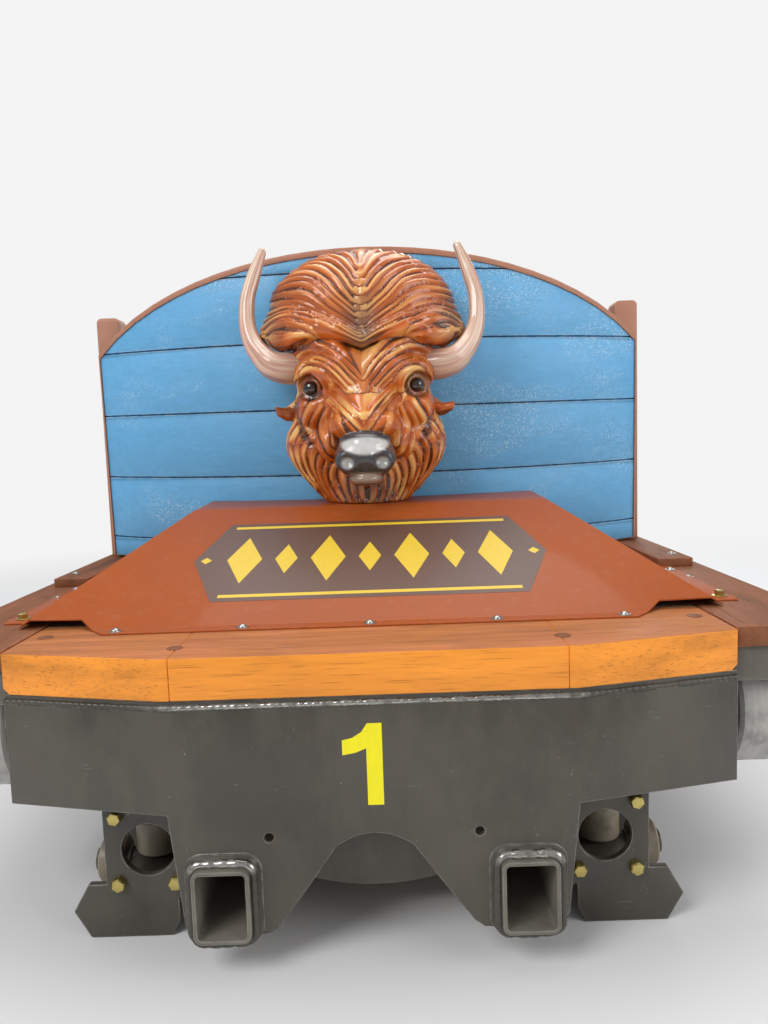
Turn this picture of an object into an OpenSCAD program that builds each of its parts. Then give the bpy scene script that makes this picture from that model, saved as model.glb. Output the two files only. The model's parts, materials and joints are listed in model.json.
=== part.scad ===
// Front car of a wooden-track roller coaster train
// Millimetres. X is across the car, the nose looks along -Y, Z is up.
// Modules are drawn from the bumper's face (y = 0) and the rail's running top (z = 0).

/* [Whole car] */
// Length over the tube ends and the rear coupling
car_l = 2350; // [2250:10:2500]
// Height of the rail's running top above the lowest plate
rail_h = 205; // [200:1:215]
// Gap that is left between neighbouring panels
panel_gap = 3; // [2:0.5:5]

/* [Bumper] */
// Width of the bumper over its wing tips
bumper_w = 1052; // [1010:2:1056]
// Width of the bumper's flat middle
bumper_mid_w = 570; // [540:2:600]
// How far the wing tips lie behind the flat middle
bumper_sweep = 55; // [40:1:70]
// Thickness of the bumper plate
bumper_t = 10; // [8:0.5:12]
// Top edge of the bumper plate
bumper_top = 176; // [170:1:180]
// Bottom edge of the bumper's wings
wing_bottom = 25; // [15:1:40]
// Lowest edge of the bumper's two lobes
lobe_bottom = -150; // [-152:1:-148]
// Top of the arch between the lobes
arch_top = -8; // [-20:1:5]
// Thickness of the flange that carries the timber
flange_t = 12; // [8:1:14]
// Distance between the two tow holes
tow_hole_pitch = 292; // [280:2:300]
// Radius of the tow holes
tow_hole_r = 6.5; // [5:0.5:8]
// Height of the tow holes
tow_hole_z = -10; // [-16:1:0]

/* [Timber] */
// Thickness of the bumper timber
timber_t = 60; // [50:1:70]
// Depth of the bumper timber from front to back
timber_d = 205; // [180:5:215]
// Half of the distance between the timber's two seams
timber_seam = 272; // [240:2:300]
// How far the side boards reach beyond the side panels
board_overhang = 68; // [50:2:80]
// Thickness of the side boards
side_board_t = 31; // [25:1:36]
// Gap between the bumper timber's lengths
timber_gap = 0.4; // [0.2:0.1:1]
// Start of the side boards behind the bumper's face
side_board_y = 70; // [60:1:90]
// Thickness of the step boards
step_board_t = 18; // [14:1:24]
// Width of the step boards
step_board_w = 73; // [60:1:80]
// Start of the step boards
step_board_y = 565; // [520:5:640]

/* [Frame] */
// Distance between the centres of the two main tubes
tube_pitch = 424; // [420:2:428]
// Width of a main tube
tube_w = 80; // [78:1:82]
// Height of a main tube
tube_h = 105; // [100:1:106]
// Wall of a main tube
tube_wall = 6; // [4:0.5:7]
// Outer radius of a main tube's corners
tube_round = 12; // [10:0.5:14]
// Height of the main tubes' centre line
tube_z = -96; // [-98:1:-94]
// How far the main tubes stand out of the bumper
tube_proud = 25; // [20:1:30]
// Width of the weld collar round a main tube
collar_w = 106; // [100:1:110]
// Height of the weld collar round a main tube
collar_h = 130; // [126:1:134]
// Radius of the weld collar's corners
collar_round = 24; // [18:1:28]
// Depth of the weld collar
collar_d = 12; // [8:1:16]
// Width of the deck's cross bearers
bearer_w = 50; // [40:1:60]
// Wall of the deck's tubes
deck_wall = 4; // [3:0.5:5]
// Middle of the arc of the buffer plate's lower edge
buffer_low = -143; // [-150:1:-130]
// Thickness of the buffer plate
buffer_t = 12; // [8:1:14]
// Place of the buffer plate behind the bumper's face
buffer_y = 100; // [80:2:120]
// Width of a cross member
member_w = 80; // [60:2:90]
// Height of a cross member
member_h = 60; // [50:2:80]
// Wall of a cross member
member_wall = 5; // [3:0.5:6]

/* [Wheels] */
// Place of the front axle behind the bumper's face
front_axle_y = 200; // [196:1:206]
// Place of the rear axle behind the bumper's face
rear_axle_y = 1850; // [1820:5:1880]
// Radius of a road wheel
road_r = 105; // [100:0.5:106]
// Width of a road wheel
road_w = 76; // [70:1:80]
// Distance of a road wheel's middle from the track's centre line
road_x = 588; // [586:1:592]
// Radius of a road wheel's axle
road_axle_r = 20; // [16:0.5:24]
// Radius of a guide wheel
guide_r = 35; // [30:0.5:36]
// Width of a guide wheel
guide_w = 58; // [50:1:58]
// Height of a guide wheel's middle
guide_z = -97; // [-97:1:-90]
// Distance of a guide wheel's tread from the carrier's outer face
guide_gap = 12; // [10:1:18]
// Radius of an upstop wheel
upstop_r = 36; // [32:0.5:38]
// Width of an upstop wheel
upstop_w = 38; // [34:1:40]
// Underside of the rail's overhang
upstop_top = -107; // [-110:1:-105]
// Radial clearance of the wheels on their axles
run_fit = 0.05; // [0.02:0.01:0.1]

/* [Carriers] */
// Inner face of the wheel carriers
carrier_in = 301; // [299:1:303]
// Outer face of the wheel carriers
carrier_out = 409; // [407:1:411]
// Length of a wheel carrier along the rail
carrier_l = 230; // [220:2:240]
// Thickness of the carrier plates
carrier_t = 12; // [10:0.5:14]
// Radius of the round window in a carrier's end plate
window_r = 40; // [34:0.5:42]
// Height of the window's middle
window_z = -68; // [-72:1:-64]
// Distance of the window's middle from the carrier's outer face
window_in = 66; // [62:1:70]
// Outer edge of a carrier's lower skid plate
skid_out = 461; // [458:1:468]
// How far the skid plate's outer end slopes in
skid_slope = 24; // [14:1:28]

/* [Nose cover] */
// Place of the cover's lower bend line
cover_y = 166; // [160:1:172]
// Place of the cover's upper front edge
cover_top_y = 500; // [480:5:520]
// Height of the cover's upper front edge
cover_top_z = 405; // [395:1:412]
// Half width of the cover's upper front edge
cover_top_hw = 347; // [335:1:360]
// How much the cover's base widens on each side from front to back
cover_flare = 20; // [10:1:26]
// Width of the cover's side flanges
cover_flange_w = 40; // [30:1:48]
// Thickness of the cover's sheet
cover_t = 3; // [2:0.5:4]

/* [Front board] */
// How far the front board reaches beyond the side panels
fb_past = 14; // [8:1:28]
// Height of the board's lower edge
fb_foot = 267; // [264:1:272]
// Height of the board's crest
fb_crest = 939; // [920:1:955]
// Rise of the crest's arc above its centre
fb_arc_b = 365; // [350:1:380]
// How far the crest's arc would reach beyond the board
fb_arc_past = 84; // [60:2:100]
// Radius of the board in plan
fb_r = 1300; // [1250:10:1400]
// Front of the board at the car's centre line
fb_y = 685; // [675:1:695]
// Forward lean of the board in degrees
fb_lean = 2.2; // [0:0.1:3]
// Thickness of the planks
plank_t = 22; // [18:1:26]
// Pitch of the planks
plank_pitch = 144.5; // [140:0.5:150]
// Height of the lowest plank line
plank_first = 313; // [308:1:320]
// Width of the rebates in the planks' joints
plank_lap = 10; // [6:1:14]
// Depth of the grooves between the side and back planks
groove_d = 5; // [3:0.5:8]
// Width of the trim along the board's crest
fb_trim_w = 12; // [8:1:16]
// Width of the trim down the board's sides
fb_side_trim = 4; // [3:0.5:8]
// Width of a batten behind the planks
batten_w = 60; // [40:2:70]
// Thickness of a batten
batten_t = 35; // [25:1:45]
// Width of a corner post
post_w = 54; // [46:1:60]
// Height of a corner post's top
post_top = 845; // [820:1:860]
// Radius of a corner post's top corners
post_round = 12; // [6:1:20]

/* [Bison head] */
// How far the head hangs off the car's centre line
head_shift = -5; // [-8:1:8]
// Number of locks on each side of the crown
crown_locks = 7; // [5:1:9]
// Number of locks on each side of the beard
beard_locks = 5; // [3:1:6]
// Number of strands over each eye
brow_strands = 3; // [2:1:4]
// Radius of a lock of hair
lock_r = 10; // [8:0.5:12]

/* [Cockpit] */
// Outer half width of the side panels
side_hw = 622; // [616:1:628]
// Thickness of the side panels
side_t = 22; // [18:1:26]
// Place of the back panel's rear face
back_y = 2080; // [2060:5:2100]
// Height of the back panel at its corners
back_corner_z = 900; // [860:5:940]
// Height of the back panel's crest
back_crest_z = 985; // [950:5:1000]
// Front of the seat base
seat_y = 1480; // [1450:5:1510]
// Height of the seat base above the floor
seat_base_h = 250; // [220:5:270]
// Height of the seat cushions
cushion_h = 95; // [80:1:110]
// Half of the gap between the two seats
seat_gap = 20; // [12:1:40]
// Gap between a seat cushion and the side of the seat base
cushion_side = 30; // [20:1:50]
// Height of the backrests
backrest_h = 440; // [400:5:460]
// Thickness of the backrests
backrest_t = 95; // [80:1:105]
// Lean of the backrests in degrees
backrest_lean = 10; // [6:0.5:12]

/* [Lap bars] */
// Place of the lap bars' hinge pins
lap_pin_y = 1130; // [1110:5:1150]
// Height of the lap bars' hinge pins above the floor
lap_pin_h = 80; // [70:1:90]
// Radius of a lap bar's hinge pin
lap_pin_r = 12; // [10:0.5:14]
// Reach of a lap bar from its pin
lap_reach = 620; // [600:5:630]
// Rise of a closed lap bar in degrees
lap_rise = 43; // [42:1:46]
// Radius of a lap bar's arm
lap_arm_r = 19; // [16:0.5:22]
// Radius of a lap bar's pad
lap_pad_r = 34; // [30:1:38]
// Length of a lap bar's pad
lap_pad_l = 420; // [400:5:440]
// Width of a lap bar's boss
lap_boss_w = 50; // [40:1:60]
// Thickness of a lap bar bracket's cheek
bracket_t = 8; // [6:0.5:10]
// Radius of a lap bar bracket's cheek
bracket_r = 32; // [28:1:36]
// Gap between a lap bar's boss and a cheek
bracket_gap = 2; // [1:0.5:4]

/* [Rear coupling] */
// Radius of the coupling eye's bore
eye_r = 16; // [12:0.5:20]
// Outer radius of the coupling eye
eye_out = 45; // [40:1:50]
// Height of the coupling eye
eye_h = 50; // [40:1:60]
// Distance of the coupling eye from the rear plate
eye_reach = 70; // [60:2:80]
// Width of the drawbar
drawbar_w = 60; // [50:2:70]
// Height of the drawbar
drawbar_h = 40; // [34:1:46]
// How far the rear plate reaches beyond the main tubes' centres
rear_plate_past = 118; // [100:2:130]

/* [Hidden] */
$fn = 64;
eps = 0.01;
front_y = -car_l / 2 + tube_proud;
board_edge = side_hw + board_overhang;
fb_hw = side_hw + fb_past;
fb_arc_a = fb_hw + fb_arc_past;
eye_y = car_l - tube_proud - eye_out;
rear_plate_y = eye_y - eye_reach;
flange_z = bumper_top + flange_t;
timber_top = flange_z + timber_t;
timber_hw = bumper_w / 2 - 1;
deck_z = timber_top - side_board_t;
rail_z = bumper_top;
beam = 70;
deck_rail_x = 500;
deck_rail_w = 40;
deck_rail_h = rail_z - road_r - beam / 2;
side_board_in = timber_hw + 5;
step_board_in = side_hw - side_t - 8;
step_top = timber_top + step_board_t;
knee = bumper_mid_w / 2;
sweep_angle = atan(bumper_sweep / (bumper_w / 2 - knee));
// Middles of the cross bearers, behind the bumper's face
bearers = [355, 830, 1270, 1690, 2020];
// Middles of the cross members, spread between the axles
member_y = [for (k = [0:2]) front_axle_y + 220 + k * (rear_axle_y - front_axle_y - 440) / 2];

module car() translate([0, front_y, rail_h]) children();
module both_sides() for (s = [-1, 1]) scale_x(s) children();
module scale_x(s) if (s < 0) mirror([1, 0, 0]) children(); else children();
// A plate drawn in X and Z, from y to y + t
module upright(y, t) translate([0, y + t, 0]) rotate([90, 0, 0]) linear_extrude(t) children();
// A plate drawn in Y and Z, from x to x + t
module lengthwise(x, t) translate([x, 0, 0]) rotate([90, 0, 90]) linear_extrude(t) children();
// A rectangle about the origin with round corners
module round_rect(w, h, r) {
  square([w - 2 * r, h], center = true);
  square([w, h - 2 * r], center = true);
  for (x = [-1, 1], z = [-1, 1]) translate([x * (w / 2 - r), z * (h / 2 - r)]) circle(r = r, $fn = 24);
}
// A strip standing on its foot, with two round corners at its top
module round_topped(w, foot, top, r) {
  translate([-w / 2, foot]) square([w, top - r - foot]);
  translate([-w / 2 + r, foot]) square([w - 2 * r, top - foot]);
  for (x = [-1, 1]) translate([x * (w / 2 - r), top - r]) circle(r = r, $fn = 24);
}

// Bumper: a bent strip, two lobes below it, the flange and the weld collars
function swept(half, y) = y + max(0, half - knee) * tan(sweep_angle);
module swept_strip(half, y, depth) {
  polygon([[-half, swept(half, y)], [-knee, y], [knee, y], [half, swept(half, y)],
    [half, swept(half, y) + depth], [knee, y + depth], [-knee, y + depth],
    [-half, swept(half, y) + depth]]);
}
function arch(half, rise, top, n) =
  [for (i = [0:n]) let (u = -1 + 2 * i / n) [u * half, top - rise * u * u]];
module lobes_outline() {
  polygon(concat(
    [[-knee, wing_bottom + eps], [-knee, wing_bottom - 6], [-269, lobe_bottom + 14],
     [-255, lobe_bottom], [-150, lobe_bottom], [-136, lobe_bottom + 10], [-95, -85]],
    arch(54, 19, arch_top, 12),
    [[95, -85], [136, lobe_bottom + 10], [150, lobe_bottom], [255, lobe_bottom],
     [269, lobe_bottom + 14], [knee, wing_bottom - 6], [knee, wing_bottom + eps]]));
}
module tube_seat(grow) {
  for (s = [-1, 1])
    translate([s * tube_pitch / 2, tube_z])
      round_rect(tube_w + 2 * grow, tube_h + 2 * grow, tube_round + grow);
}
module bumper() color("#4a4844") car() difference() {
  union() {
    translate([0, 0, wing_bottom]) linear_extrude(bumper_top - wing_bottom + eps)
      swept_strip(bumper_w / 2, 0, bumper_t);
    upright(0, bumper_t) lobes_outline();
    translate([0, 0, bumper_top]) linear_extrude(flange_t)
      swept_strip(bumper_w / 2, 3, 62);
    // Weld collars, sloping from the plate up to the tubes
    for (s = [-1, 1]) translate([s * tube_pitch / 2, 0, tube_z]) hull() {
      upright(-1, 1 + eps) round_rect(collar_w, collar_h, collar_round);
      upright(-collar_d, 1) round_rect(tube_w + 8, tube_h + 8, tube_round + 4);
    }
  }
  upright(-collar_d - 1, collar_d + bumper_t + 2) tube_seat(0);
  for (s = [-1, 1]) translate([s * tow_hole_pitch / 2, -1, tow_hole_z]) rotate([-90, 0, 0])
    cylinder(r = tow_hole_r, h = bumper_t + 2);
}

// Buffer plate behind the arch, with a sagging lower edge
module buffer_plate() color("#45433f") car() upright(buffer_y, buffer_t) {
  half = (tube_pitch - tube_w) / 2;
  top = tube_z + tube_h / 2 - tube_round;
  polygon(concat([[-half, top]],
    [for (i = [0:12]) let (u = -1 + i / 6) [u * half, buffer_low - (buffer_low - tube_z) * 0.88 * u * u]],
    [[half, top]]));
}

// Timber across the bumper, in three lengths
module timber_plan(x0, x1) intersection() {
  polygon([[-timber_hw, swept(timber_hw, 0)], [-knee, 0], [knee, 0], [timber_hw, swept(timber_hw, 0)],
    [timber_hw, timber_d], [-timber_hw, timber_d]]);
  translate([x0, -5]) square([x1 - x0, timber_d + 10]);
}
module bumper_timbers() color("#c4793f") car() {
  c = 9;
  for (span = [[-timber_hw, -timber_seam], [-timber_seam, timber_seam], [timber_seam, timber_hw]])
    difference() {
      translate([0, 0, flange_z]) linear_extrude(timber_t)
        timber_plan(span[0] + timber_gap / 2, span[1] - timber_gap / 2);
      both_sides() translate([timber_hw, 0, flange_z]) rotate([0, 45, 0])
        cube([c * 1.414, 3 * timber_d, c * 1.414], center = true);
    }
}

// Side boards and the step boards on them
module side_board(s) color("#7a4e3c") car() scale_x(s)
  translate([side_board_in, side_board_y, deck_z])
    cube([board_edge - side_board_in, back_y - side_board_y + 60, side_board_t]);
module side_board_left() side_board(-1);
module side_board_right() side_board(1);
module step_board(s) color("#74493a") car() scale_x(s)
  translate([step_board_in, step_board_y, timber_top])
    cube([step_board_w, back_y - step_board_y - 40, step_board_t]);
module step_board_left() step_board(-1);
module step_board_right() step_board(1);

// Main tubes, open at both ends
module frame_tube(s) color("#45433f") car() translate([s * tube_pitch / 2, 0, tube_z])
  upright(-tube_proud, rear_plate_y + tube_proud + 20) difference() {
    round_rect(tube_w, tube_h, tube_round);
    round_rect(tube_w - 2 * tube_wall, tube_h - 2 * tube_wall, tube_round - tube_wall);
  }
module frame_tube_left() frame_tube(-1);
module frame_tube_right() frame_tube(1);

// Cross members between the main tubes
module cross_members() color("#45433f") car()
  for (y = member_y) translate([-tube_pitch / 2 + tube_w / 2, y - member_w / 2, tube_z - member_h / 2])
    difference() {
      cube([tube_pitch - tube_w, member_w, member_h]);
      translate([-1, member_wall, member_wall])
        cube([tube_pitch - tube_w + 2, member_w - 2 * member_wall, member_h - 2 * member_wall]);
    }

// Deck rails, their legs on the main tubes, and the front outriggers
module deck_rails() color("#3f3d38") car() both_sides() {
  rail_y0 = swept(deck_rail_x + deck_rail_w / 2, bumper_t) + 1;
  difference() {
    translate([deck_rail_x - deck_rail_w / 2, rail_y0, rail_z - deck_rail_h])
      cube([deck_rail_w, back_y - rail_y0, deck_rail_h]);
    translate([deck_rail_x - deck_rail_w / 2 + deck_wall, rail_y0 - 1, rail_z - deck_rail_h + deck_wall])
      cube([deck_rail_w - 2 * deck_wall, back_y - rail_y0 + 2, deck_rail_h - 2 * deck_wall]);
  }
  translate([deck_rail_x + deck_rail_w / 2, side_board_y + 6, rail_z - 11])
    cube([board_edge - 8 - deck_rail_x - deck_rail_w / 2, 22, 10.5]);
  translate([side_board_in, side_board_y + 6, rail_z - 11])
    cube([board_edge - 8 - side_board_in, 22, deck_z - rail_z + 11]);
}

module deck_bearers() color("#3f3d38") car() for (y = bearers) difference() {
  translate([-board_edge + 12, y - bearer_w / 2, rail_z])
    cube([2 * board_edge - 24, bearer_w, deck_z - rail_z]);
  translate([-board_edge, y - bearer_w / 2 + deck_wall, rail_z + deck_wall])
    cube([2 * board_edge, bearer_w - 2 * deck_wall, deck_z - rail_z - 2 * deck_wall]);
}

module deck_floor() color("#6b5a48") car()
  translate([-timber_hw, timber_d + 3, deck_z]) cube([2 * timber_hw, back_y - timber_d - 3, side_board_t]);

// Axle beam: a square tube, its pedestals on the main tubes and the two stub axles
module axle_beam(y) color("#45433f") car() {
  translate([-road_x + road_w / 2 + 12, y - beam / 2, road_r - beam / 2])
    cube([2 * (road_x - road_w / 2 - 12), beam, beam]);
  for (s = [-1, 1]) translate([s * tube_pitch / 2, y, 0]) {
    translate([-30, -45, tube_z + tube_h / 2]) cube([60, 90, road_r - beam / 2 - tube_z - tube_h / 2]);
    translate([-tube_w / 2, -60, tube_z + tube_h / 2]) cube([tube_w, 120, 10]);
  }
  translate([0, y, road_r]) rotate([0, 90, 0])
    cylinder(r = road_axle_r, h = 2 * (road_x + road_w / 2 + 8), center = true);
  both_sides() translate([road_x + road_w / 2 + 2, y, road_r]) rotate([0, 90, 0]) cylinder(r = 30, h = 10);
}
module axle_beam_front() axle_beam(front_axle_y);
module axle_beam_rear() axle_beam(rear_axle_y);

// Wheel carrier: end plates with round windows, skid plates, guide and upstop axles
skid_bottom = -rail_h;
skid_top = upstop_top - 14;
plate_top = wing_bottom + 2;
guide_x = carrier_out - guide_gap - guide_r;
guide_low = guide_z - guide_w / 2;
guide_pin_r = 12.5;
ring_t = 7;
upstop_x = carrier_out + 7 + upstop_w / 2;
upstop_z = upstop_top - upstop_r;
upstop_pin_r = 12;
tube_side = tube_pitch / 2 + tube_w / 2 + 0.3;
box_floor = guide_low - 6 - carrier_t;
module end_plate() difference() {
  polygon([[tube_side, plate_top], [carrier_out, plate_top], [carrier_out, skid_top],
    [skid_out - skid_slope, skid_top], [skid_out, (skid_top + skid_bottom) / 2],
    [skid_out - skid_slope, skid_bottom], [carrier_in + skid_slope / 2, skid_bottom],
    [carrier_in, skid_bottom + skid_slope], [carrier_in, box_floor], [tube_side, box_floor]]);
  translate([carrier_out - window_in, window_z]) circle(r = window_r);
}
module carrier(s, y) color("#4a4844") car() scale_x(s) {
  for (e = [-carrier_l / 2, carrier_l / 2 - carrier_t]) upright(y + e, carrier_t) end_plate();
  // Inner wall, bolted to the main tube
  translate([tube_side, y - carrier_l / 2 + carrier_t - eps, box_floor])
    cube([carrier_t, carrier_l - 2 * carrier_t + 2 * eps, plate_top - box_floor]);
  // Floor and roof of the guide wheel's box
  for (z = [box_floor, plate_top - carrier_t])
    translate([tube_side, y - carrier_l / 2 + carrier_t - eps, z])
      cube([carrier_out - 9 - tube_side, carrier_l - 2 * carrier_t + 2 * eps, carrier_t]);
  // Guide axle, with a ring below and above its wheel
  translate([guide_x, y, box_floor + 1]) cylinder(r = guide_pin_r, h = plate_top - box_floor - 2);
  translate([guide_x, y, box_floor + 1])
    cylinder(r = guide_pin_r + ring_t, h = guide_low - 2 - box_floor - 1);
  translate([guide_x, y, guide_low + guide_w + 2]) cylinder(r = guide_pin_r + ring_t, h = ring_t);
  // Upstop axle, on a wall below the box
  translate([carrier_out - 21, y - carrier_l / 2 + carrier_t - eps, skid_bottom + 8])
    cube([carrier_t, carrier_l - 2 * carrier_t + 2 * eps, box_floor + carrier_t - skid_bottom - 8]);
  translate([carrier_out - 15, y, upstop_z]) rotate([0, 90, 0])
    cylinder(r = upstop_pin_r, h = upstop_x + upstop_w / 2 + 6 - carrier_out + 15);
  translate([carrier_out - 2, y, upstop_z]) rotate([0, 90, 0])
    cylinder(r = upstop_pin_r + ring_t, h = upstop_x - upstop_w / 2 - carrier_out);
  translate([upstop_x + upstop_w / 2 + 2, y, upstop_z]) rotate([0, 90, 0])
    cylinder(r = upstop_pin_r + ring_t, h = ring_t);
}
module carrier_front_left() carrier(-1, front_axle_y);
module carrier_front_right() carrier(1, front_axle_y);
module carrier_rear_left() carrier(-1, rear_axle_y);
module carrier_rear_right() carrier(1, rear_axle_y);

// Wheels: a tread with rounded edges on a dished hub, turned in one profile
module wheel_solid(r, w, bore, hub_r, dish) rotate_extrude() polygon([
  [bore, -w / 2 + 2], [hub_r, -w / 2 + 2], [hub_r + 4, -w / 2 + dish], [r - 20, -w / 2 + dish],
  [r - 16, -w / 2], [r - 5, -w / 2], [r, -w / 2 + 5], [r, w / 2 - 5], [r - 5, w / 2],
  [r - 16, w / 2], [r - 20, w / 2 - dish], [hub_r + 4, w / 2 - dish], [hub_r, w / 2 - 2],
  [bore, w / 2 - 2]]);
module road_wheel(s, y) color("#b9b4a6") car() translate([s * road_x, y, road_r])
  rotate([0, 90, 0]) wheel_solid(road_r, road_w, road_axle_r + run_fit, 38, 16);
module roller(r, w, bore) rotate_extrude() polygon([[bore, -w / 2], [r - 3, -w / 2], [r, -w / 2 + 3],
  [r, w / 2 - 3], [r - 3, w / 2], [bore, w / 2]]);
module guide_wheel(s, y) color("#a39b8b") car() translate([s * guide_x, y, guide_z])
  roller(guide_r, guide_w, guide_pin_r + run_fit);
module upstop_wheel(s, y) color("#a39b8b") car() translate([s * upstop_x, y, upstop_z])
  rotate([0, 90, 0]) roller(upstop_r, upstop_w, upstop_pin_r + run_fit);
module road_wheel_front_left() road_wheel(-1, front_axle_y);
module road_wheel_front_right() road_wheel(1, front_axle_y);
module road_wheel_rear_left() road_wheel(-1, rear_axle_y);
module road_wheel_rear_right() road_wheel(1, rear_axle_y);
module guide_wheel_front_left() guide_wheel(-1, front_axle_y);
module guide_wheel_front_right() guide_wheel(1, front_axle_y);
module guide_wheel_rear_left() guide_wheel(-1, rear_axle_y);
module guide_wheel_rear_right() guide_wheel(1, rear_axle_y);
module upstop_wheel_front_left() upstop_wheel(-1, front_axle_y);
module upstop_wheel_front_right() upstop_wheel(1, front_axle_y);
module upstop_wheel_rear_left() upstop_wheel(-1, rear_axle_y);
module upstop_wheel_rear_right() upstop_wheel(1, rear_axle_y);

// Nose cover: a hipped sheet with bolting flanges
cover_z = timber_top + cover_t;
cover_end = fb_y + 145;
cover_back_hw = step_board_in - 6;
cover_base_hw = cover_back_hw - cover_flare;
flange_edge = cover_base_hw + cover_flange_w;
front_flange_hw = cover_base_hw - 154;
module hip(back) {
  b = cover_base_hw;
  // Bottom ring, then top ring, each from the front left corner round
  polyhedron(points = [
    [-b, cover_y, cover_z], [b, cover_y, cover_z],
    [cover_back_hw, back, cover_z], [-cover_back_hw, back, cover_z],
    [-cover_top_hw, cover_top_y, cover_top_z], [cover_top_hw, cover_top_y, cover_top_z],
    [cover_top_hw + 20, back, cover_top_z], [-cover_top_hw - 20, back, cover_top_z]],
    faces = [[0, 1, 2, 3], [4, 7, 6, 5], [0, 4, 5, 1], [1, 5, 6], [1, 6, 2], [0, 3, 7], [0, 7, 4],
      [2, 6, 7, 3]]);
}
module board_barrel(grow, h) lean() translate([0, fb_y + fb_r, fb_foot - 100])
  cylinder(r = fb_r + grow, h = h, $fn = 180);
module nose_cover() color("#a8562e") car() difference() {
  union() {
    difference() {
      hip(cover_end);
      translate([0, 0, -cover_t * 1.12]) hip(cover_end + 2);
    }
    // Front flange
    translate([0, 0, timber_top]) linear_extrude(cover_t)
      polygon([[-front_flange_hw, cover_y - 26], [front_flange_hw, cover_y - 26],
        [front_flange_hw + 24, cover_y + 2], [-front_flange_hw - 24, cover_y + 2]]);
    // Side flanges with their bolting tabs
    both_sides() translate([0, 0, timber_top]) linear_extrude(cover_t)
      polygon([[cover_base_hw, cover_y + 66], [flange_edge, cover_y + 66], [flange_edge + 6, cover_y + 96],
        [flange_edge, cover_y + 114], [flange_edge + 8, step_board_y - 6],
        [step_board_in - 1, step_board_y - 6], [step_board_in - 1, cover_end - 70],
        [cover_base_hw - 2, cover_y + 134]]);
  }
  // The lower edge is cut back at both front corners
  both_sides() translate([0, 0, timber_top - 1]) linear_extrude(40)
    polygon([[front_flange_hw + 26, cover_y - 40], [front_flange_hw + 26, cover_y + 3],
      [front_flange_hw + 50, cover_y + 27], [board_edge, cover_y + 34], [board_edge, cover_y - 40]]);
  board_barrel(5, 400);
}

// Front board: planks on a barrel, leaning forward
module lean() translate([0, fb_y, fb_foot]) rotate([fb_lean, 0, 0])
  translate([0, -fb_y, -fb_foot]) children();
function crest_at(x, inset) = fb_crest - fb_arc_b - inset + fb_arc_b * sqrt(1 - pow(x / fb_arc_a, 2));
module board_outline(side, top, down) {
  hw = fb_hw - side;
  n = 24;
  polygon(concat([[-hw, fb_foot - down], [hw, fb_foot - down]],
    [for (i = [0:n]) let (x = hw - 2 * hw * i / n) [x, crest_at(x, top)]]));
}
module board_shell(t, ahead) lean() intersection() {
  translate([0, fb_y + fb_r, fb_foot - 60]) difference() {
    cylinder(r = fb_r + ahead, h = fb_crest, $fn = 240);
    translate([0, 0, -1]) cylinder(r = fb_r + ahead - t, h = fb_crest + 2, $fn = 240);
  }
  upright(fb_y - fb_hw / 4, fb_hw) children();
}
plank_lines = [for (i = [0:4]) plank_first + i * plank_pitch];
// A band at each plank line, from x0 to x1 and from z0 to z1 about the line
module plank_bands(x0, x1, z0, z1) for (z = plank_lines) translate([x0, z + z0]) square([x1 - x0, z1 - z0]);
module front_board() color("#5a9bc8") car() difference() {
  board_shell(plank_t, 0) board_outline(fb_side_trim, fb_trim_w, 0);
  // Rebated joints: open in front, lapped behind, so that no light shows between the planks
  g = panel_gap / 2;
  board_shell(plank_t / 2 + 2, 2) plank_bands(-fb_hw, fb_hw, -g, g);
  board_shell(0.6, 0.3 - plank_t / 2) plank_bands(-fb_hw, fb_hw, -g, plank_lap + g);
  board_shell(plank_t / 2 + 2, -plank_t / 2) plank_bands(-fb_hw, fb_hw, plank_lap - g, plank_lap + g);
}
module front_board_trim() color("#b07b62") car() board_shell(plank_t + 4, 4) difference() {
  board_outline(0, 0, 0);
  board_outline(fb_side_trim, fb_trim_w, 1);
}
module board_battens() color("#8a6a50") car()
  for (k = [-3, -1, 1, 3]) let (x = k * fb_hw * 0.22) intersection() {
    board_shell(batten_t, -plank_t) translate([x - batten_w / 2, timber_top - batten_w / 2])
      square([batten_w, crest_at(abs(x) + batten_w / 2, 40) - timber_top + batten_w / 2]);
    translate([-fb_hw, 0, timber_top]) cube([2 * fb_hw, back_y, fb_crest]);
  }
function board_y(x) = fb_y + fb_r - sqrt(fb_r * fb_r - x * x);
post_x = side_hw + 4;
post_y = board_y(fb_hw) + plank_t * 1.2 + post_w / 2 + 1;
module corner_posts() color("#b9886a") car() both_sides() translate([post_x, post_y, 0]) {
  upright(-post_w / 2, post_w) round_topped(post_w, step_top, post_top, post_round);
}

// Bison head: one moulded sculpture, locks of hair over rounded masses
// Masses: place x, y, z, then radii in x, y, z
crown = [0, 628, 794, 197, 124, 132];
crown_rim = [122, 592, 762, 84, 62, 38];
brow = [82, 562, 666, 60, 54, 42];
forehead = [42, 520, 668, 60, 42, 46];
beard_high = [98, 602, 530, 70, 68, 55];
beard_low = [62, 594, 450, 50, 54, 56];
// Masses that a skin joins, each one mirrored too: crown, face, forehead, bridge, muzzle, beard
head_skins = [[crown, crown_rim],
  [brow, [84, 566, 596, 56, 58, 50], [56, 550, 530, 44, 50, 42], [30, 530, 580, 40, 46, 50]],
  [forehead, [18, 520, 600, 40, 46, 40]],
  [[16, 514, 640, 22, 34, 22], [30, 494, 562, 34, 44, 30]],
  [[26, 474, 502, 36, 40, 36], [20, 500, 540, 34, 40, 24]],
  [beard_high, beard_low]];
// Masses on one side, to be mirrored: lower lip, nostril's rim
head_masses = [[8, 466, 458, 26, 30, 15], [31, 446, 494, 24, 24, 23]];
// Eye socket and nostril, cut out, and the eye in its socket
hollows = [[106, 508, 638, 27, 26, 22], [32, 420, 494, 15, 14, 15]];
eye = [105, 538, 638, 19, 20, 18];
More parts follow.
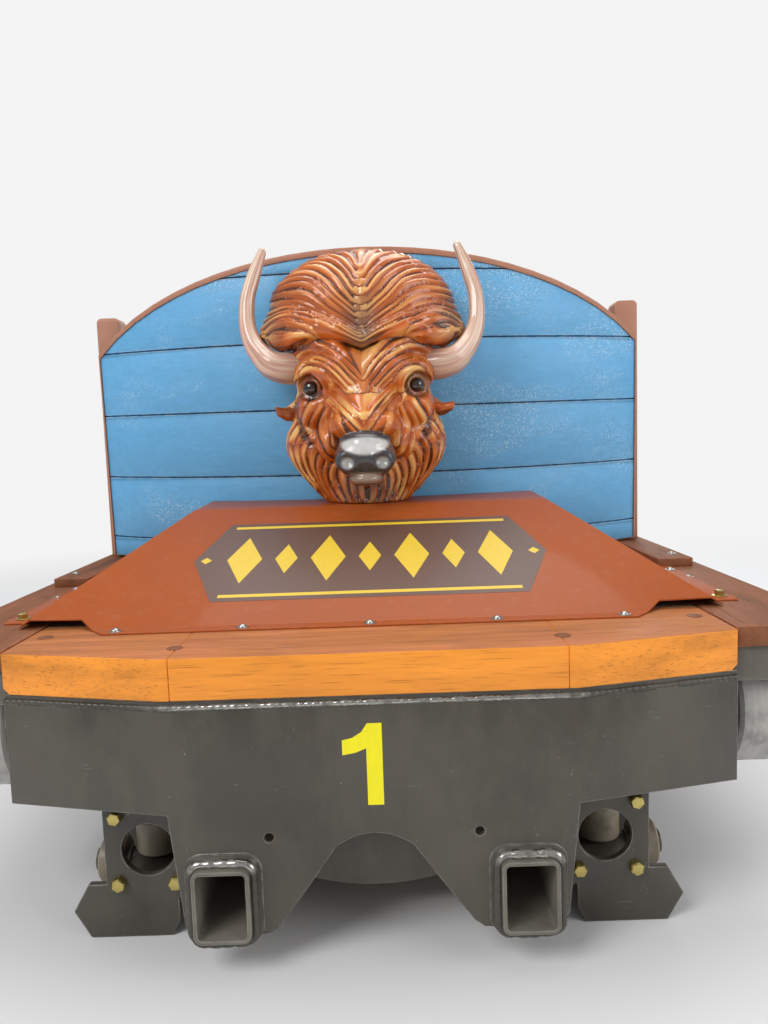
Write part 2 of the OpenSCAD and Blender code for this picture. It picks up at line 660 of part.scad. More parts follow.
// Ear rings, as the horn's
ear_rings = [[136, 604, 610, 12], [160, 594, 588, 13], [180, 582, 600, 4]];
// Horn rings: place x, y, z and radius
horn_rings = [[136, 560, 682, 32], [166, 558, 684, 31], [196, 566, 702, 25], [220, 578, 733, 20.5],
  [234, 590, 772, 17], [234, 600, 826, 16], [219, 608, 878, 14], [201, 612, 924, 9.5]];
module mass(m) translate([m[0], m[1], m[2]]) scale([m[3], m[4], m[5]] / 100) sphere(r = 100, $fn = 18);
// A chain of balls of changing radius, skinned one to the next
module chain(balls, sides) for (i = [0:len(balls) - 2]) hull() for (b = [balls[i], balls[i + 1]])
  translate([b[0], b[1], b[2]]) sphere(r = b[3], $fn = sides);
// Front of a mass, and of two masses together, over a place x, z
function on_mass(m, x, z) =
  m[1] - m[4] * sqrt(max(1 - pow((x - m[0]) / m[3], 2) - pow((z - m[2]) / m[5], 2), 0.02));
function on_both(m, n, x, z) = min(on_mass(m, x, z), on_mass(n, x, z));

// Crown locks: up and out from the parting, then level to the side
function crown_low(x) = 720 + 22 * (1 - exp(-x / 30)) - 34 * pow(x / 190, 2) + 26 * pow(x / 190, 8);
function crown_high(x) = crown[2] + crown[5] * sqrt(max(1 - pow(x / 208, 2), 0.03));
function crown_lock(c) = [for (u = [0:0.25:1]) let (x = 5 + (180 - 66 * c * c) * u,
  share = c + (1 - c) * (0.66 * (1 - exp(-x / 60)) - 0.5 * pow(x / 190, 2)),
  z = crown_low(x) + share * (crown_high(x) - crown_low(x)))
  [x, on_both(crown, crown_rim, x, z) + lock_r / 3, z, lock_r * (0.4 + 0.6 * sin(20 + 140 * u))]];
// Locks along the crown's rim, rising from the middle and curling at the corners
function rim_lock(rise) = [for (u = [0:1 / 7:1]) let (x = 186 * u, z = crown_low(x) + rise)
  [x, on_both(crown, crown_rim, x, z + 14), z, lock_r * (0.8 + 0.35 * u)]];
// Beard locks: hanging, and drawn together below
function beard_hw(z) = 88 + 74 * sin(90 * min(1, (z - cover_top_z) / 130));
function beard_lock(c) = [for (u = [0:1 / 3:1]) let (z = 552 - 150 * u, x = c * beard_hw(z))
  [x, on_both(beard_high, beard_low, x, z) - lock_r / 4, z, lock_r * (1.3 - 0.6 * u)]];
// Brow strands: arcs over the eye
function brow_strand(rise) = [for (u = [0:0.2:1]) let (a = 176 - 196 * u,
  x = 88 + (a > 90 ? rise : 14 + 0.45 * rise) * cos(a), z = 634 + rise * sin(a))
  [x, on_both(forehead, brow, x, z) - lock_r / 6, z, lock_r * (0.5 + 0.4 * sin(180 * u))]];
module bison_head() color("#b5622c") car() difference() {
  translate([head_shift, 0, 0]) {
    difference() {
      union() {
        for (skin = head_skins) hull() for (m = skin) if (m[0] > 0) both_sides() mass(m); else mass(m);
        both_sides() for (m = head_masses) mass(m);
      }
      both_sides() for (m = hollows) mass(m);
    }
    both_sides() {
      mass(eye);
      chain(horn_rings, 10);
      chain(ear_rings, 8);
      for (rise = [0, 24]) chain(rim_lock(rise), 6);
      for (k = [0:crown_locks - 1]) chain(crown_lock(0.06 + 0.76 * k / (crown_locks - 1)), 6);
      for (k = [0:beard_locks - 1]) chain(beard_lock(0.25 + 0.68 * k / (beard_locks - 1)), 6);
      for (k = [0:brow_strands - 1]) chain(brow_strand(34 + 26 * k / (brow_strands - 1)), 6);
    }
  }
  board_barrel(0.6, 1200);
  translate([-400, 0, -400]) cube([800, 1200, 400 + cover_top_z + 0.5]);
}

// Side panels: boards with a dropped entry between the front board and the backrest
side_front = post_y + post_w / 2 + 1;
side_foot = timber_top;
side_end = back_y - side_t - 10;
entry_z = 470;
// A quarter of an oval about a middle y, z, from one angle to the next
function quarter(y, z, ry, rz, from) =
  [for (i = [0:10]) let (a = from + 9 * i) [y + ry * cos(a), z + rz * sin(a)]];
// The same turned the other way
function quarter_back(y, z, ry, rz, from) =
  [for (i = [0:10]) let (a = from - 9 * i) [y + ry * cos(a), z + rz * sin(a)]];
module side_outline(inset) {
  top = 700 - inset;
  low = entry_z - inset;
  polygon(concat(
    [[side_front, step_top], [side_front, top]],
    quarter_back(side_front + 60, low + 80, 150, top - low - 80, 90),
    quarter(side_front + 290, low + 80, 80, 80, 180),
    quarter(1500, low + 130, 130, 130, 270),
    quarter_back(1770, low + 130, 140, back_corner_z - entry_z - 130, 180),
    [[side_end, back_corner_z - inset], [side_end, step_top]]));
}
module side_panel(s) color("#5a9bc8") car() scale_x(s) difference() {
  lengthwise(side_hw - side_t, side_t) side_outline(14);
  lengthwise(side_hw - groove_d, groove_d + 1) plank_bands(0, back_y, -panel_gap / 2, panel_gap / 2);
}
module side_panel_left() side_panel(-1);
module side_panel_right() side_panel(1);
module side_cap(s) color("#b07b62") car() scale_x(s)
  lengthwise(side_hw - side_t - 8, side_t + 14) difference() {
    side_outline(0);
    side_outline(14 - eps);
    square([back_y, step_top + post_w]);
    square([side_front + 14, back_y]);
    translate([side_end - 14, 0]) square([post_w, back_corner_z - 14]);
  }
module side_cap_left() side_cap(-1);
module side_cap_right() side_cap(1);

// Back panel and its cap
function back_rise(x) = back_corner_z + (back_crest_z - back_corner_z) * cos(90 * x / side_hw);
module back_outline(inset) polygon(concat([[side_hw, side_foot]],
  [for (i = [0:16]) let (x = side_hw - 2 * side_hw * i / 16) [x, back_rise(x) - inset]],
  [[-side_hw, side_foot]]));
module back_panel() color("#5a9bc8") car() difference() {
  upright(back_y - side_t, side_t) back_outline(14);
  upright(back_y - groove_d, groove_d + 1)
    plank_bands(-side_hw - 1, side_hw + 1, -panel_gap / 2, panel_gap / 2);
}
module back_cap() color("#b07b62") car() upright(back_y - side_t - 8, side_t + 16) difference() {
  back_outline(0);
  back_outline(14 - eps);
}

// Seat: a hollow base, cushions and backrests on a sloped frame
seat_d = 480;
seat_base_z = side_foot;
seat_top = seat_base_z + seat_base_h;
base_t = 15;
base_hw = side_hw - side_t - 10;
cushion_w = base_hw - seat_gap - cushion_side;
module seat_base() color("#7d5a3e") car() difference() {
  translate([-base_hw, seat_y, seat_base_z]) cube([2 * base_hw, seat_d, seat_base_h]);
  translate([-base_hw + base_t, seat_y + base_t, seat_base_z - 1])
    cube([2 * base_hw - 2 * base_t, seat_d - 2 * base_t, seat_base_h - base_t + 1]);
}
module seat_cushions() color("#2e2b2a") car() both_sides()
  translate([seat_gap, seat_y + 6, seat_top]) cube([cushion_w, seat_d - backrest_t - 40, cushion_h]);
module backrests() color("#2e2b2a") car() both_sides()
  translate([seat_gap, seat_y + seat_d - backrest_t - 30, seat_top + backrest_t * sin(backrest_lean) + 0.3])
    rotate([-backrest_lean, 0, 0]) cube([cushion_w, backrest_t, backrest_h]);
module seat_back_frame() color("#7d5a3e") car()
  translate([-base_hw, seat_y + seat_d - 30, seat_top + (base_t + 1) * sin(backrest_lean) + 0.3])
    rotate([-backrest_lean, 0, 0]) translate([0, 1, 0]) cube([2 * base_hw, base_t, backrest_h - 20]);

// Lap bars: one for each seat, on pins in floor brackets
lap_pin_z = side_foot + lap_pin_h;
lap_x = seat_gap + cushion_w / 2;
bar_end_y = lap_pin_y + lap_reach * cos(lap_rise);
bar_end_z = lap_pin_z + lap_reach * sin(lap_rise);
base_w = lap_boss_w + 2 * (bracket_gap + bracket_t) + 54;
module lap_brackets() color("#4a4844") car() for (s = [-1, 1]) translate([s * lap_x, lap_pin_y, side_foot]) {
  translate([-base_w / 2, -1.5 * bracket_r, 0]) cube([base_w, 3 * bracket_r, bracket_t]);
  for (k = [-1, 1]) translate([k * (lap_boss_w / 2 + bracket_gap + bracket_t / 2) - bracket_t / 2, 0, 0]) {
    translate([0, -bracket_r, bracket_t / 2]) cube([bracket_t, 2 * bracket_r, lap_pin_h - bracket_t / 2]);
    translate([0, 0, lap_pin_h]) rotate([0, 90, 0]) cylinder(r = bracket_r, h = bracket_t);
  }
  translate([0, 0, lap_pin_h]) rotate([0, 90, 0])
    cylinder(r = lap_pin_r, h = lap_boss_w + 2 * bracket_gap + bracket_t, center = true);
}
module lap_bar(s) color("#55534e") car() translate([s * lap_x, lap_pin_y, lap_pin_z]) difference() {
  union() {
    rotate([0, 90, 0]) cylinder(r = 28, h = lap_boss_w, center = true);
    rotate([lap_rise - 90, 0, 0]) cylinder(r = lap_arm_r, h = lap_reach);
    rotate([lap_rise - 90, 0, 0]) translate([0, 0, lap_reach]) rotate([0, 90, 0])
      cylinder(r = lap_arm_r - 1, h = lap_pad_l + 50, center = true);
  }
  rotate([0, 90, 0]) cylinder(r = lap_pin_r + run_fit, h = lap_boss_w + 2, center = true);
}
module lap_bar_left() lap_bar(-1);
module lap_bar_right() lap_bar(1);
module lap_pad(s) color("#2e2b2a") car() translate([s * lap_x, bar_end_y, bar_end_z])
  both_sides() translate([lap_arm_r + 3, 0, 0]) rotate([0, 90, 0]) difference() {
    cylinder(r = lap_pad_r, h = lap_pad_l / 2 - lap_arm_r - 3);
    translate([0, 0, -1]) cylinder(r = lap_arm_r - 1 + 0.3, h = lap_pad_l / 2);
  }
module lap_pad_left() lap_pad(-1);
module lap_pad_right() lap_pad(1);

// Rear plate across the main tubes, and the coupling eye
seat_fit = 0.3;
module rear_plate() color("#4a4844") car() upright(rear_plate_y, 12) difference() {
  translate([-tube_pitch / 2 - rear_plate_past, tube_z - 0.6 * tube_h])
    square([tube_pitch + 2 * rear_plate_past, 1.86 * tube_h]);
  tube_seat(seat_fit);
  translate([0, tube_z]) square([drawbar_w + 2 * seat_fit, drawbar_h + 2 * seat_fit], center = true);
}
module rear_coupling() color("#55534e") car() difference() {
  union() {
    translate([-drawbar_w / 2, rear_plate_y - drawbar_h, tube_z - drawbar_h / 2])
      cube([drawbar_w, eye_y - rear_plate_y + drawbar_h / 2, drawbar_h]);
    translate([0, eye_y, tube_z - eye_h / 2]) cylinder(r = eye_out, h = eye_h);
  }
  translate([0, eye_y, tube_z - eye_h / 2 - 1]) cylinder(r = eye_r, h = eye_h + 2);
}

bumper();
bumper_timbers();
nose_cover();
side_board_left();
side_board_right();
step_board_left();
step_board_right();
frame_tube_left();
frame_tube_right();
cross_members();
buffer_plate();
deck_rails();
deck_bearers();
deck_floor();
axle_beam_front();
axle_beam_rear();
carrier_front_left();
carrier_front_right();
carrier_rear_left();
carrier_rear_right();
road_wheel_front_left();
road_wheel_front_right();
road_wheel_rear_left();
road_wheel_rear_right();
guide_wheel_front_left();
guide_wheel_front_right();
guide_wheel_rear_left();
guide_wheel_rear_right();
upstop_wheel_front_left();
upstop_wheel_front_right();
upstop_wheel_rear_left();
upstop_wheel_rear_right();
front_board();
front_board_trim();
corner_posts();
board_battens();
bison_head();
side_panel_left();
side_panel_right();
side_cap_left();
side_cap_right();
back_panel();
back_cap();
seat_base();
seat_cushions();
backrests();
seat_back_frame();
lap_brackets();
lap_bar_left();
lap_bar_right();
lap_pad_left();
lap_pad_right();
rear_plate();
rear_coupling();
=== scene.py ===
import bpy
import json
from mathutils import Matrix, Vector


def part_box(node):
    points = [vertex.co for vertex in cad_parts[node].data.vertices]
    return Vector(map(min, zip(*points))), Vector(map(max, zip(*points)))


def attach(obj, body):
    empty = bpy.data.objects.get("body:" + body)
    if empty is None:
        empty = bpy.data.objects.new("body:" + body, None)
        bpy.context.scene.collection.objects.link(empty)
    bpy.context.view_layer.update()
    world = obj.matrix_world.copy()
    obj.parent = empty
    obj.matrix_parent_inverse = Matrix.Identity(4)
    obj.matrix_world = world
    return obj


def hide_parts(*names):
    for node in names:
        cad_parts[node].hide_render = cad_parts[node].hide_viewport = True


bl_info = {
    "name": "Coaster Lead Car",
    "version": (1, 0, 0),
    "blender": (4, 5, 0),
    "location": "3D View > Sidebar > Coaster Car",
    "description": "Dresses the lead car of a wooden-track coaster in paint, timber, carving and cushions",
    "category": "Object",
}

import functools
import json
import math

import bmesh
import bpy
import numpy as np
from mathutils import Matrix, Vector
from mathutils.bvhtree import BVHTree

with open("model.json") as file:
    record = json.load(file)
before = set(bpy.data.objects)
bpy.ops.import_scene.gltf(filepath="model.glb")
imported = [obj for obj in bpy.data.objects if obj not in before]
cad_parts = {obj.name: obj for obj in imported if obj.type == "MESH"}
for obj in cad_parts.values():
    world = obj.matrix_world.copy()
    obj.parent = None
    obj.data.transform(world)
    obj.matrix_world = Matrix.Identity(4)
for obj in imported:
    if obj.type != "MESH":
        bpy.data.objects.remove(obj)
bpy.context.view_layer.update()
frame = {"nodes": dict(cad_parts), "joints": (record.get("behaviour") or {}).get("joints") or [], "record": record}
MOUNT = {m["name"]: Vector(m["pos_m"]) for m in frame["record"]["mounts"]}
MM = 0.001
FACE_Y = MOUNT["tow_holes"].y
RAIL_Z = MOUNT["rail_tops"].z
SIDES = {"left": -1, "right": 1}
ENDS = ("front", "rear")
CAR = "car"


def at(x, y, z):
    """A point given in mm from the bumper's face and the rail's running top."""
    return Vector((x * MM, FACE_Y + y * MM, RAIL_Z + z * MM))


def paint(red, green, blue):
    """A colour written as 0 to 255, as the shader's linear values."""
    def linear(v):
        v /= 255
        return v / 12.92 if v <= 0.04045 else ((v + 0.055) / 1.055) ** 2.4
    return (linear(red), linear(green), linear(blue))


# Sizes and colours that a user would change

def length_prop(name, description, default):
    return bpy.props.FloatProperty(name=name, description=description, default=default,
                                   min=0.0, subtype="DISTANCE", unit="LENGTH", precision=4)


def colour_prop(name, description, *rgb):
    return bpy.props.FloatVectorProperty(name=name, description=description, default=paint(*rgb),
                                         size=3, min=0.0, max=1.0, subtype="COLOR")


class CarSizes(bpy.types.PropertyGroup):
    """Sizes of the small forms on the car"""

    plate_round: length_prop("Plate edge", "Rounding of the steel plates' edges", 0.0016)
    timber_round: length_prop("Timber edge", "Rounding of the timber's edges", 0.0018)
    weld_radius: length_prop("Weld bead", "Radius of a weld bead", 0.0055)
    bolt_flats: length_prop("Bolt head", "Width over the flats of a bolt head", 0.019)
    screw_radius: length_prop("Screw head", "Radius of a pan-head screw", 0.0065)
    head_step: length_prop("Carving grid", "Grid size on which the carved head is built", 0.0029)
    lock_height: bpy.props.FloatProperty(name="Hair depth", default=1.0, min=0.0,
                                         description="Depth of the carved locks of hair, 1 as photographed")
    cushion_voxel: length_prop("Cushion grid", "Grid size of the cushions' covers", 0.007)
    piping_radius: length_prop("Piping", "Radius of the piping on the cushions' seams", 0.0035)


class CarColours(bpy.types.PropertyGroup):
    """Colours of the car's paints, woods and covers"""

    bumper: colour_prop("Bumper", "Dark paint of the bumper and the carriers", 72, 68, 59)
    chassis: colour_prop("Chassis", "Dark paint of the frame", 98, 94, 84)
    bare_steel: colour_prop("Bare steel", "Worn and machined steel", 168, 166, 160)
    rust: colour_prop("Rust", "Rust in the paint's chips", 112, 70, 45)
    zinc: colour_prop("Zinc", "Yellow zinc of the bolts", 196, 178, 110)
    numeral: colour_prop("Numeral", "Yellow film of the car's number", 245, 232, 0)
    timber_fresh: colour_prop("Fresh timber", "Oiled front of the bumper timber", 242, 150, 50)
    timber_grey: colour_prop("Worn timber", "Weathered top of the bumper timber", 184, 112, 66)
    boards: colour_prop("Boards", "Brown boards beside the body", 136, 84, 54)
    floor: colour_prop("Floor", "Sealed floor of the cockpit", 110, 88, 66)
    cover: colour_prop("Cover", "Brown-orange paint of the nose cover", 162, 78, 28)
    band: colour_prop("Band", "Dark ground of the painted band", 96, 66, 52)
    planks: colour_prop("Planks", "Light blue paint of the planks", 98, 168, 214)
    trim: colour_prop("Trim", "Tan paint of the edging", 176, 123, 98)
    mane: colour_prop("Mane", "Orange-brown of the carved hair", 206, 100, 24)
    mane_dark: colour_prop("Mane grooves", "Dark brown of the hair's grooves", 62, 28, 14)
    mane_light: colour_prop("Mane crests", "Cream of the hair's crests", 242, 190, 112)
    muzzle: colour_prop("Muzzle", "Dark grey of the muzzle", 66, 64, 66)
    horn: colour_prop("Horn", "Pinkish cream of the horns", 222, 196, 172)
    vinyl: colour_prop("Vinyl", "Dark vinyl of the seats", 48, 44, 42)
    tread: colour_prop("Tread", "Cast tread of the wheels", 170, 168, 162)


def sizes():
    return bpy.context.scene.car_sizes


def colour(name):
    return tuple(getattr(bpy.context.scene.car_colours, name))


def tint(rgb, share):
    """A colour made lighter or darker by a share of itself."""
    return tuple(min(1.0, c * share) for c in rgb)


# Shader graphs written as Python expressions

class Wire:
    """An output socket that takes part in arithmetic."""

    def __init__(self, finish, socket):
        self.finish = finish
        self.socket = socket

    def math(self, operation, *operands, clamp=False):
        settings = {"operation": operation, "use_clamp": clamp}
        return self.finish.node("ShaderNodeMath", settings, dict(enumerate(operands)))

    def __add__(self, other):
        return self.math("ADD", self, other)

    def __radd__(self, other):
        return self.math("ADD", other, self)

    def __sub__(self, other):
        return self.math("SUBTRACT", self, other)

    def __rsub__(self, other):
        return self.math("SUBTRACT", other, self)

    def __mul__(self, other):
        return self.math("MULTIPLY", self, other)

    def __rmul__(self, other):
        return self.math("MULTIPLY", other, self)

    def __truediv__(self, other):
        return self.math("DIVIDE", self, other)

    def __abs__(self):
        return self.math("ABSOLUTE", self)

    def fraction(self):
        return self.math("FRACT", self)

    def floor(self):
        return self.math("FLOOR", self)

    def clamped(self):
        return self.math("ADD", self, 0.0, clamp=True)

    def rises(self, low, high):
        """0 below low, 1 above high, smooth between; falls where low is above high."""
        if low > high:
            return 1.0 - self.rises(high, low)
        settings = {"interpolation_type": "SMOOTHSTEP"}
        return self.finish.node("ShaderNodeMapRange", settings, {0: self, 1: low, 2: high, 3: 0.0, 4: 1.0})


class Finish:
    """One material: a Principled surface and the graph that feeds it."""

    def __init__(self, name):
        self.material = bpy.data.materials.new(name)
        self.material.use_nodes = True
        self.tree = self.material.node_tree
        self.shader = self.tree.nodes["Principled BSDF"]

    def node(self, kind, settings=None, inputs=None, output=0):
        made = self.tree.nodes.new(kind)
        settings = dict(settings or {})
        stops = settings.pop("stops", None)
        for name, value in settings.items():
            setattr(made, name, value)
        if stops:
            ramp = made.color_ramp.elements
            while len(ramp) < len(stops):
                ramp.new(0.5)
            for element, (position, rgb) in zip(ramp, stops):
                element.position = position
                element.color = (*rgb, 1.0)
        for key, value in (inputs or {}).items():
            self.feed(made.inputs[key], value)
        return Wire(self, made.outputs[output])

    def feed(self, socket, value):
        if isinstance(value, Wire):
            self.tree.links.new(value.socket, socket)
        elif socket.type == "RGBA" and len(value) == 3:
            socket.default_value = (*value, 1.0)
        else:
            socket.default_value = value

    def surface(self, **inputs):
        """Feeds the shader's sockets, whose names are written with _ for a space."""
        for key, value in inputs.items():
            self.feed(self.shader.inputs[key.replace("_", " ")], value)
        return self.material

    def place(self):
        return self.node("ShaderNodeTexCoord", output="Object")

    def facing(self):
        """The surface's own normal, which turns with the piece."""
        return self.split(self.node("ShaderNodeTexCoord", output="Normal"))

    def split(self, vector):
        return [self.node("ShaderNodeSeparateXYZ", inputs={0: vector}, output=i) for i in range(3)]

    def join(self, x, y, z):
        return self.node("ShaderNodeCombineXYZ", inputs={0: x, 1: y, 2: z})

    def scaled(self, vector, x, y, z):
        return self.node("ShaderNodeVectorMath", {"operation": "MULTIPLY"}, {0: vector, 1: (x, y, z)})

    def noise(self, vector, scale=1.0, detail=3.0, rough=0.55):
        return self.node("ShaderNodeTexNoise", inputs={
            "Vector": vector, "Scale": scale, "Detail": detail, "Roughness": rough})

    def cells(self, vector, scale):
        return self.node("ShaderNodeTexVoronoi", inputs={"Vector": vector, "Scale": scale})

    def chance(self, value):
        """A random number for each whole value."""
        return self.node("ShaderNodeTexWhiteNoise", {"noise_dimensions": "1D"}, {"W": value})

    def mark(self, name):
        """A number that the mesh carries."""
        return self.node("ShaderNodeAttribute", {"attribute_name": name}, output="Fac")

    def mix(self, first, second, factor):
        settings = {"data_type": "RGBA", "clamp_factor": True}
        return self.node("ShaderNodeMix", settings, {0: factor, 6: first, 7: second}, output=2)

    def shade(self, rgb, amount):
        """A colour times a grey number."""
        settings = {"data_type": "RGBA", "blend_type": "MULTIPLY", "clamp_factor": True}
        grey = self.join(amount, amount, amount)
        return self.node("ShaderNodeMix", settings, {0: 1.0, 6: rgb, 7: grey}, output=2)

    def ramp(self, value, *stops):
        return self.node("ShaderNodeValToRGB", {"stops": stops}, {0: value})

    def bump(self, height, depth, strength=1.0):
        return self.node("ShaderNodeBump", inputs={
            "Height": height, "Distance": depth, "Strength": strength})


# Finishes

def painted(name, rgb, wear, gloss, rusty):
    """Satin paint on plate: patchy tone, scuffs, bare steel at the edges and rust in the chips."""
    f = Finish(name)
    place = f.place()
    patch = f.noise(place, 5.0, 4.0)
    cloud = f.noise(place, 38.0, 3.0)
    smudge = f.noise(f.scaled(place, 9.0, 9.0, 4.0), 1.0, 5.0, 0.65).rises(0.35, 0.66)
    base = f.shade(rgb, 0.70 + 0.42 * smudge + 0.16 * patch.rises(0.3, 0.7) + 0.12 * cloud)
    scrape = f.noise(f.scaled(place, 14.0, 60.0, 150.0), 1.0, 5.0, 0.7)
    fleck = f.noise(place, 210.0, 2.0)
    scuff = scrape.rises(0.63, 0.75) * patch.rises(0.42, 0.6) * 0.55
    chip = fleck.rises(0.70, 0.76) * cloud.rises(0.48, 0.62)
    # On plates the edge mark is worn edges; on the weld beads it carries a painted highlight.
    rubbed = f.mark("edge") * (0.25 + 0.75 * f.noise(place, 60.0, 4.0).rises(0.38, 0.6)) * wear
    with_scuffs = f.mix(base, tint(colour("bare_steel"), 0.62), scuff)
    with_chips = f.mix(with_scuffs, colour("bare_steel"), (chip * 0.6 + rubbed).clamped())
    rust = (f.noise(place, 17.0, 5.0, 0.7).rises(0.60, 0.72) * rusty).clamped()
    coloured = f.mix(with_chips, colour("rust"), rust)
    return f.surface(
        Base_Color=coloured,
        Metallic=(rubbed * 0.8 + chip * 0.5).clamped(),
        Roughness=gloss + 0.20 * smudge - 0.10 * rubbed + 0.25 * rust,
        Normal=f.bump(f.noise(place, 420.0, 2.0) - scuff * 0.6 - chip * 1.5, 0.00012))


@functools.cache
def plate_paint():
    return painted("dark plate paint", colour("bumper"), 0.40, 0.30, 0.10)


# Paint of the weld beads: its chips and scuffs are wear, and its bright bare steel along the beads' edge marks is
# painted highlight.
@functools.cache
def weld_wear_and_highlight():
    return painted("worn collar paint", tint(colour("bumper"), 0.8), 1.3, 0.26, 0.0)


@functools.cache
def tube_paint():
    """The open tubes are dusty and rubbed bare inside."""
    return painted("dusty tube paint", tint(colour("chassis"), 1.1), 0.4, 0.5, 0.5)


@functools.cache
def chassis_paint():
    return painted("chassis paint", colour("chassis"), 0.45, 0.46, 0.35)


def metal(name, rgb, rough, stretch=(220.0, 220.0, 12.0), stain=0.3):
    """Bare or plated metal with fine brushing and dull stains."""
    f = Finish(name)
    place = f.place()
    brushed = f.noise(f.scaled(place, *stretch), 1.0, 3.0)
    dull = f.noise(place, 26.0, 4.0, 0.65).rises(0.45, 0.75) * stain
    return f.surface(
        Base_Color=f.mix(f.shade(rgb, 0.82 + 0.30 * brushed), tint(rgb, 0.38), dull),
        Metallic=1.0,
        Roughness=rough + 0.18 * brushed + 0.3 * dull,
        Normal=f.bump(brushed, 0.00004))


@functools.cache
def machined_steel():
    return metal("machined steel", colour("bare_steel"), 0.22)


@functools.cache
def yellow_zinc():
    return metal("yellow zinc", colour("zinc"), 0.24, (160.0, 160.0, 160.0), 0.4)


@functools.cache
def screw_steel():
    return metal("screw steel", tint(colour("bare_steel"), 1.25), 0.2, (160.0, 160.0, 160.0), 0.2)


def grain(f, along):
    """Wood figure along one axis, as a coarse and a fine number."""
    place = f.place()
    coarse_stretch = [34.0] * 3
    fine_stretch = [520.0] * 3
    coarse_stretch[along] = 1.9
    fine_stretch[along] = 14.0
    bend = f.noise(place, 3.2, 2.0)
    shifted = f.node("ShaderNodeVectorMath", {"operation": "ADD"}, {
        0: f.scaled(place, *coarse_stretch), 1: f.join(bend * 2.2, bend * 2.2, bend * 2.2)})
    coarse = f.noise(shifted, 1.0, 5.0, 0.62)
    fine = f.noise(f.scaled(place, *fine_stretch), 1.0, 2.0)
    return coarse, fine


@functools.cache
def bumper_timber():
    """Oiled hardwood: fresh orange on the front, greyed and dusty on top."""
    f = Finish("bumper timber")
    coarse, fine = grain(f, 0)
    place = f.place()
    fresh = colour("timber_fresh")
    aged = colour("timber_grey")
    front = f.ramp(coarse, (0.30, tint(fresh, 0.66)), (0.44, tint(fresh, 0.88)),
                   (0.55, fresh), (0.72, tint(fresh, 1.14)))
    top = f.ramp(coarse, (0.30, tint(aged, 0.58)), (0.44, tint(aged, 0.86)),
                 (0.56, aged), (0.72, tint(aged, 1.34)))
    up = f.facing()[2].rises(0.25, 0.8)
    mottled = f.noise(place, 9.0, 4.0).rises(0.35, 0.7)
    base = f.mix(front, f.mix(top, tint(fresh, 0.55), mottled * 0.35), up)
    pores = fine.rises(0.58, 0.72)
    return f.surface(
        Base_Color=f.shade(base, 1.0 - 0.28 * pores),
        Roughness=0.42 + 0.22 * up + 0.15 * pores, Specular_IOR_Level=0.3,
        Normal=f.bump(coarse * 0.6 - pores, 0.00045),
        Coat_Weight=0.12, Coat_Roughness=0.3)


def board_wood(name, rgb, along, gloss, contrast=1.0):
    """Brown boards with end grain, worn paler along their edges."""
    f = Finish(name)
    coarse, fine = grain(f, along)
    place = f.place()
    tone = f.ramp(coarse, (0.26, tint(rgb, 1 - 0.52 * contrast)), (0.46, tint(rgb, 1 - 0.14 * contrast)),
                  (0.60, rgb), (0.82, tint(rgb, 1 + 0.34 * contrast)))
    worn = f.mark("edge") * f.noise(place, 35.0, 3.0).rises(0.35, 0.65)
    aged = f.mix(tone, tint(rgb, 1.75), worn * 0.55)
    pores = fine.rises(0.56, 0.72)
    return f.surface(
        Base_Color=f.shade(aged, 1.0 - 0.30 * pores * contrast),
        Roughness=gloss + 0.18 * pores, Specular_IOR_Level=0.3,
        Normal=f.bump(coarse * 0.5 - pores, 0.0004))


@functools.cache
def side_boards_wood():
    return board_wood("weathered boards", colour("boards"), 1, 0.56)


@functools.cache
def floor_wood():
    return board_wood("sealed floor", colour("floor"), 1, 0.5, 0.7)


@functools.cache
def batten_softwood():
    return board_wood("batten softwood", tint(colour("floor"), 1.7), 2, 0.6, 0.8)


@functools.cache
def seat_ply():
    return board_wood("seat plywood", tint(colour("floor"), 1.25), 0, 0.45, 0.6)


@functools.cache
def tan_trim():
    """Tan paint over wood, rubbed at its corners."""
    f = Finish("tan trim")
    place = f.place()
    streak = f.noise(f.scaled(place, 40.0, 40.0, 40.0), 1.0, 4.0)
    rubbed = f.mark("edge") * f.noise(place, 70.0, 3.0).rises(0.4, 0.62)
    base = f.mix(f.shade(colour("trim"), 0.84 + 0.3 * streak), tint(colour("trim"), 1.5), rubbed * 0.45)
    return f.surface(Base_Color=base, Roughness=0.45 + 0.15 * streak,
                     Normal=f.bump(f.noise(place, 260.0, 2.0), 0.00015))


@functools.cache
def cover_paint():
    """Gloss paint on sheet: soft dents, fine scratches and a little dust on the flats."""
    f = Finish("cover gloss paint")
    place = f.place()
    cloud = f.noise(place, 3.0, 3.0)
    mottled = f.noise(place, 24.0, 3.0)
    base = f.shade(colour("cover"), 0.88 + 0.16 * cloud + 0.08 * mottled)
    scratch = f.noise(f.scaled(place, 260.0, 18.0, 18.0), 1.0, 3.0, 0.7).rises(0.69, 0.76)
    sparse = f.noise(place, 7.0, 2.0).rises(0.5, 0.62)
    rubbed = f.mark("edge") * f.noise(place, 50.0, 3.0).rises(0.42, 0.62)
    marked = f.mix(base, tint(colour("cover"), 1.8), (scratch * sparse * 0.3 + rubbed * 0.35).clamped())
    dust = f.noise(place, 46.0, 5.0, 0.7).rises(0.5, 0.85) * 0.12
    dents = f.noise(place, 4.5, 1.0) * 6.0 + f.noise(place, 330.0, 1.0) * 0.05
    return f.surface(
        Base_Color=f.mix(marked, (0.55, 0.42, 0.32), dust),
        Roughness=0.42 + 0.16 * mottled + 0.3 * dust,
        Normal=f.bump(dents, 0.0004, 0.6), Specular_IOR_Level=0.2,
        Coat_Weight=0.14, Coat_Roughness=0.08)


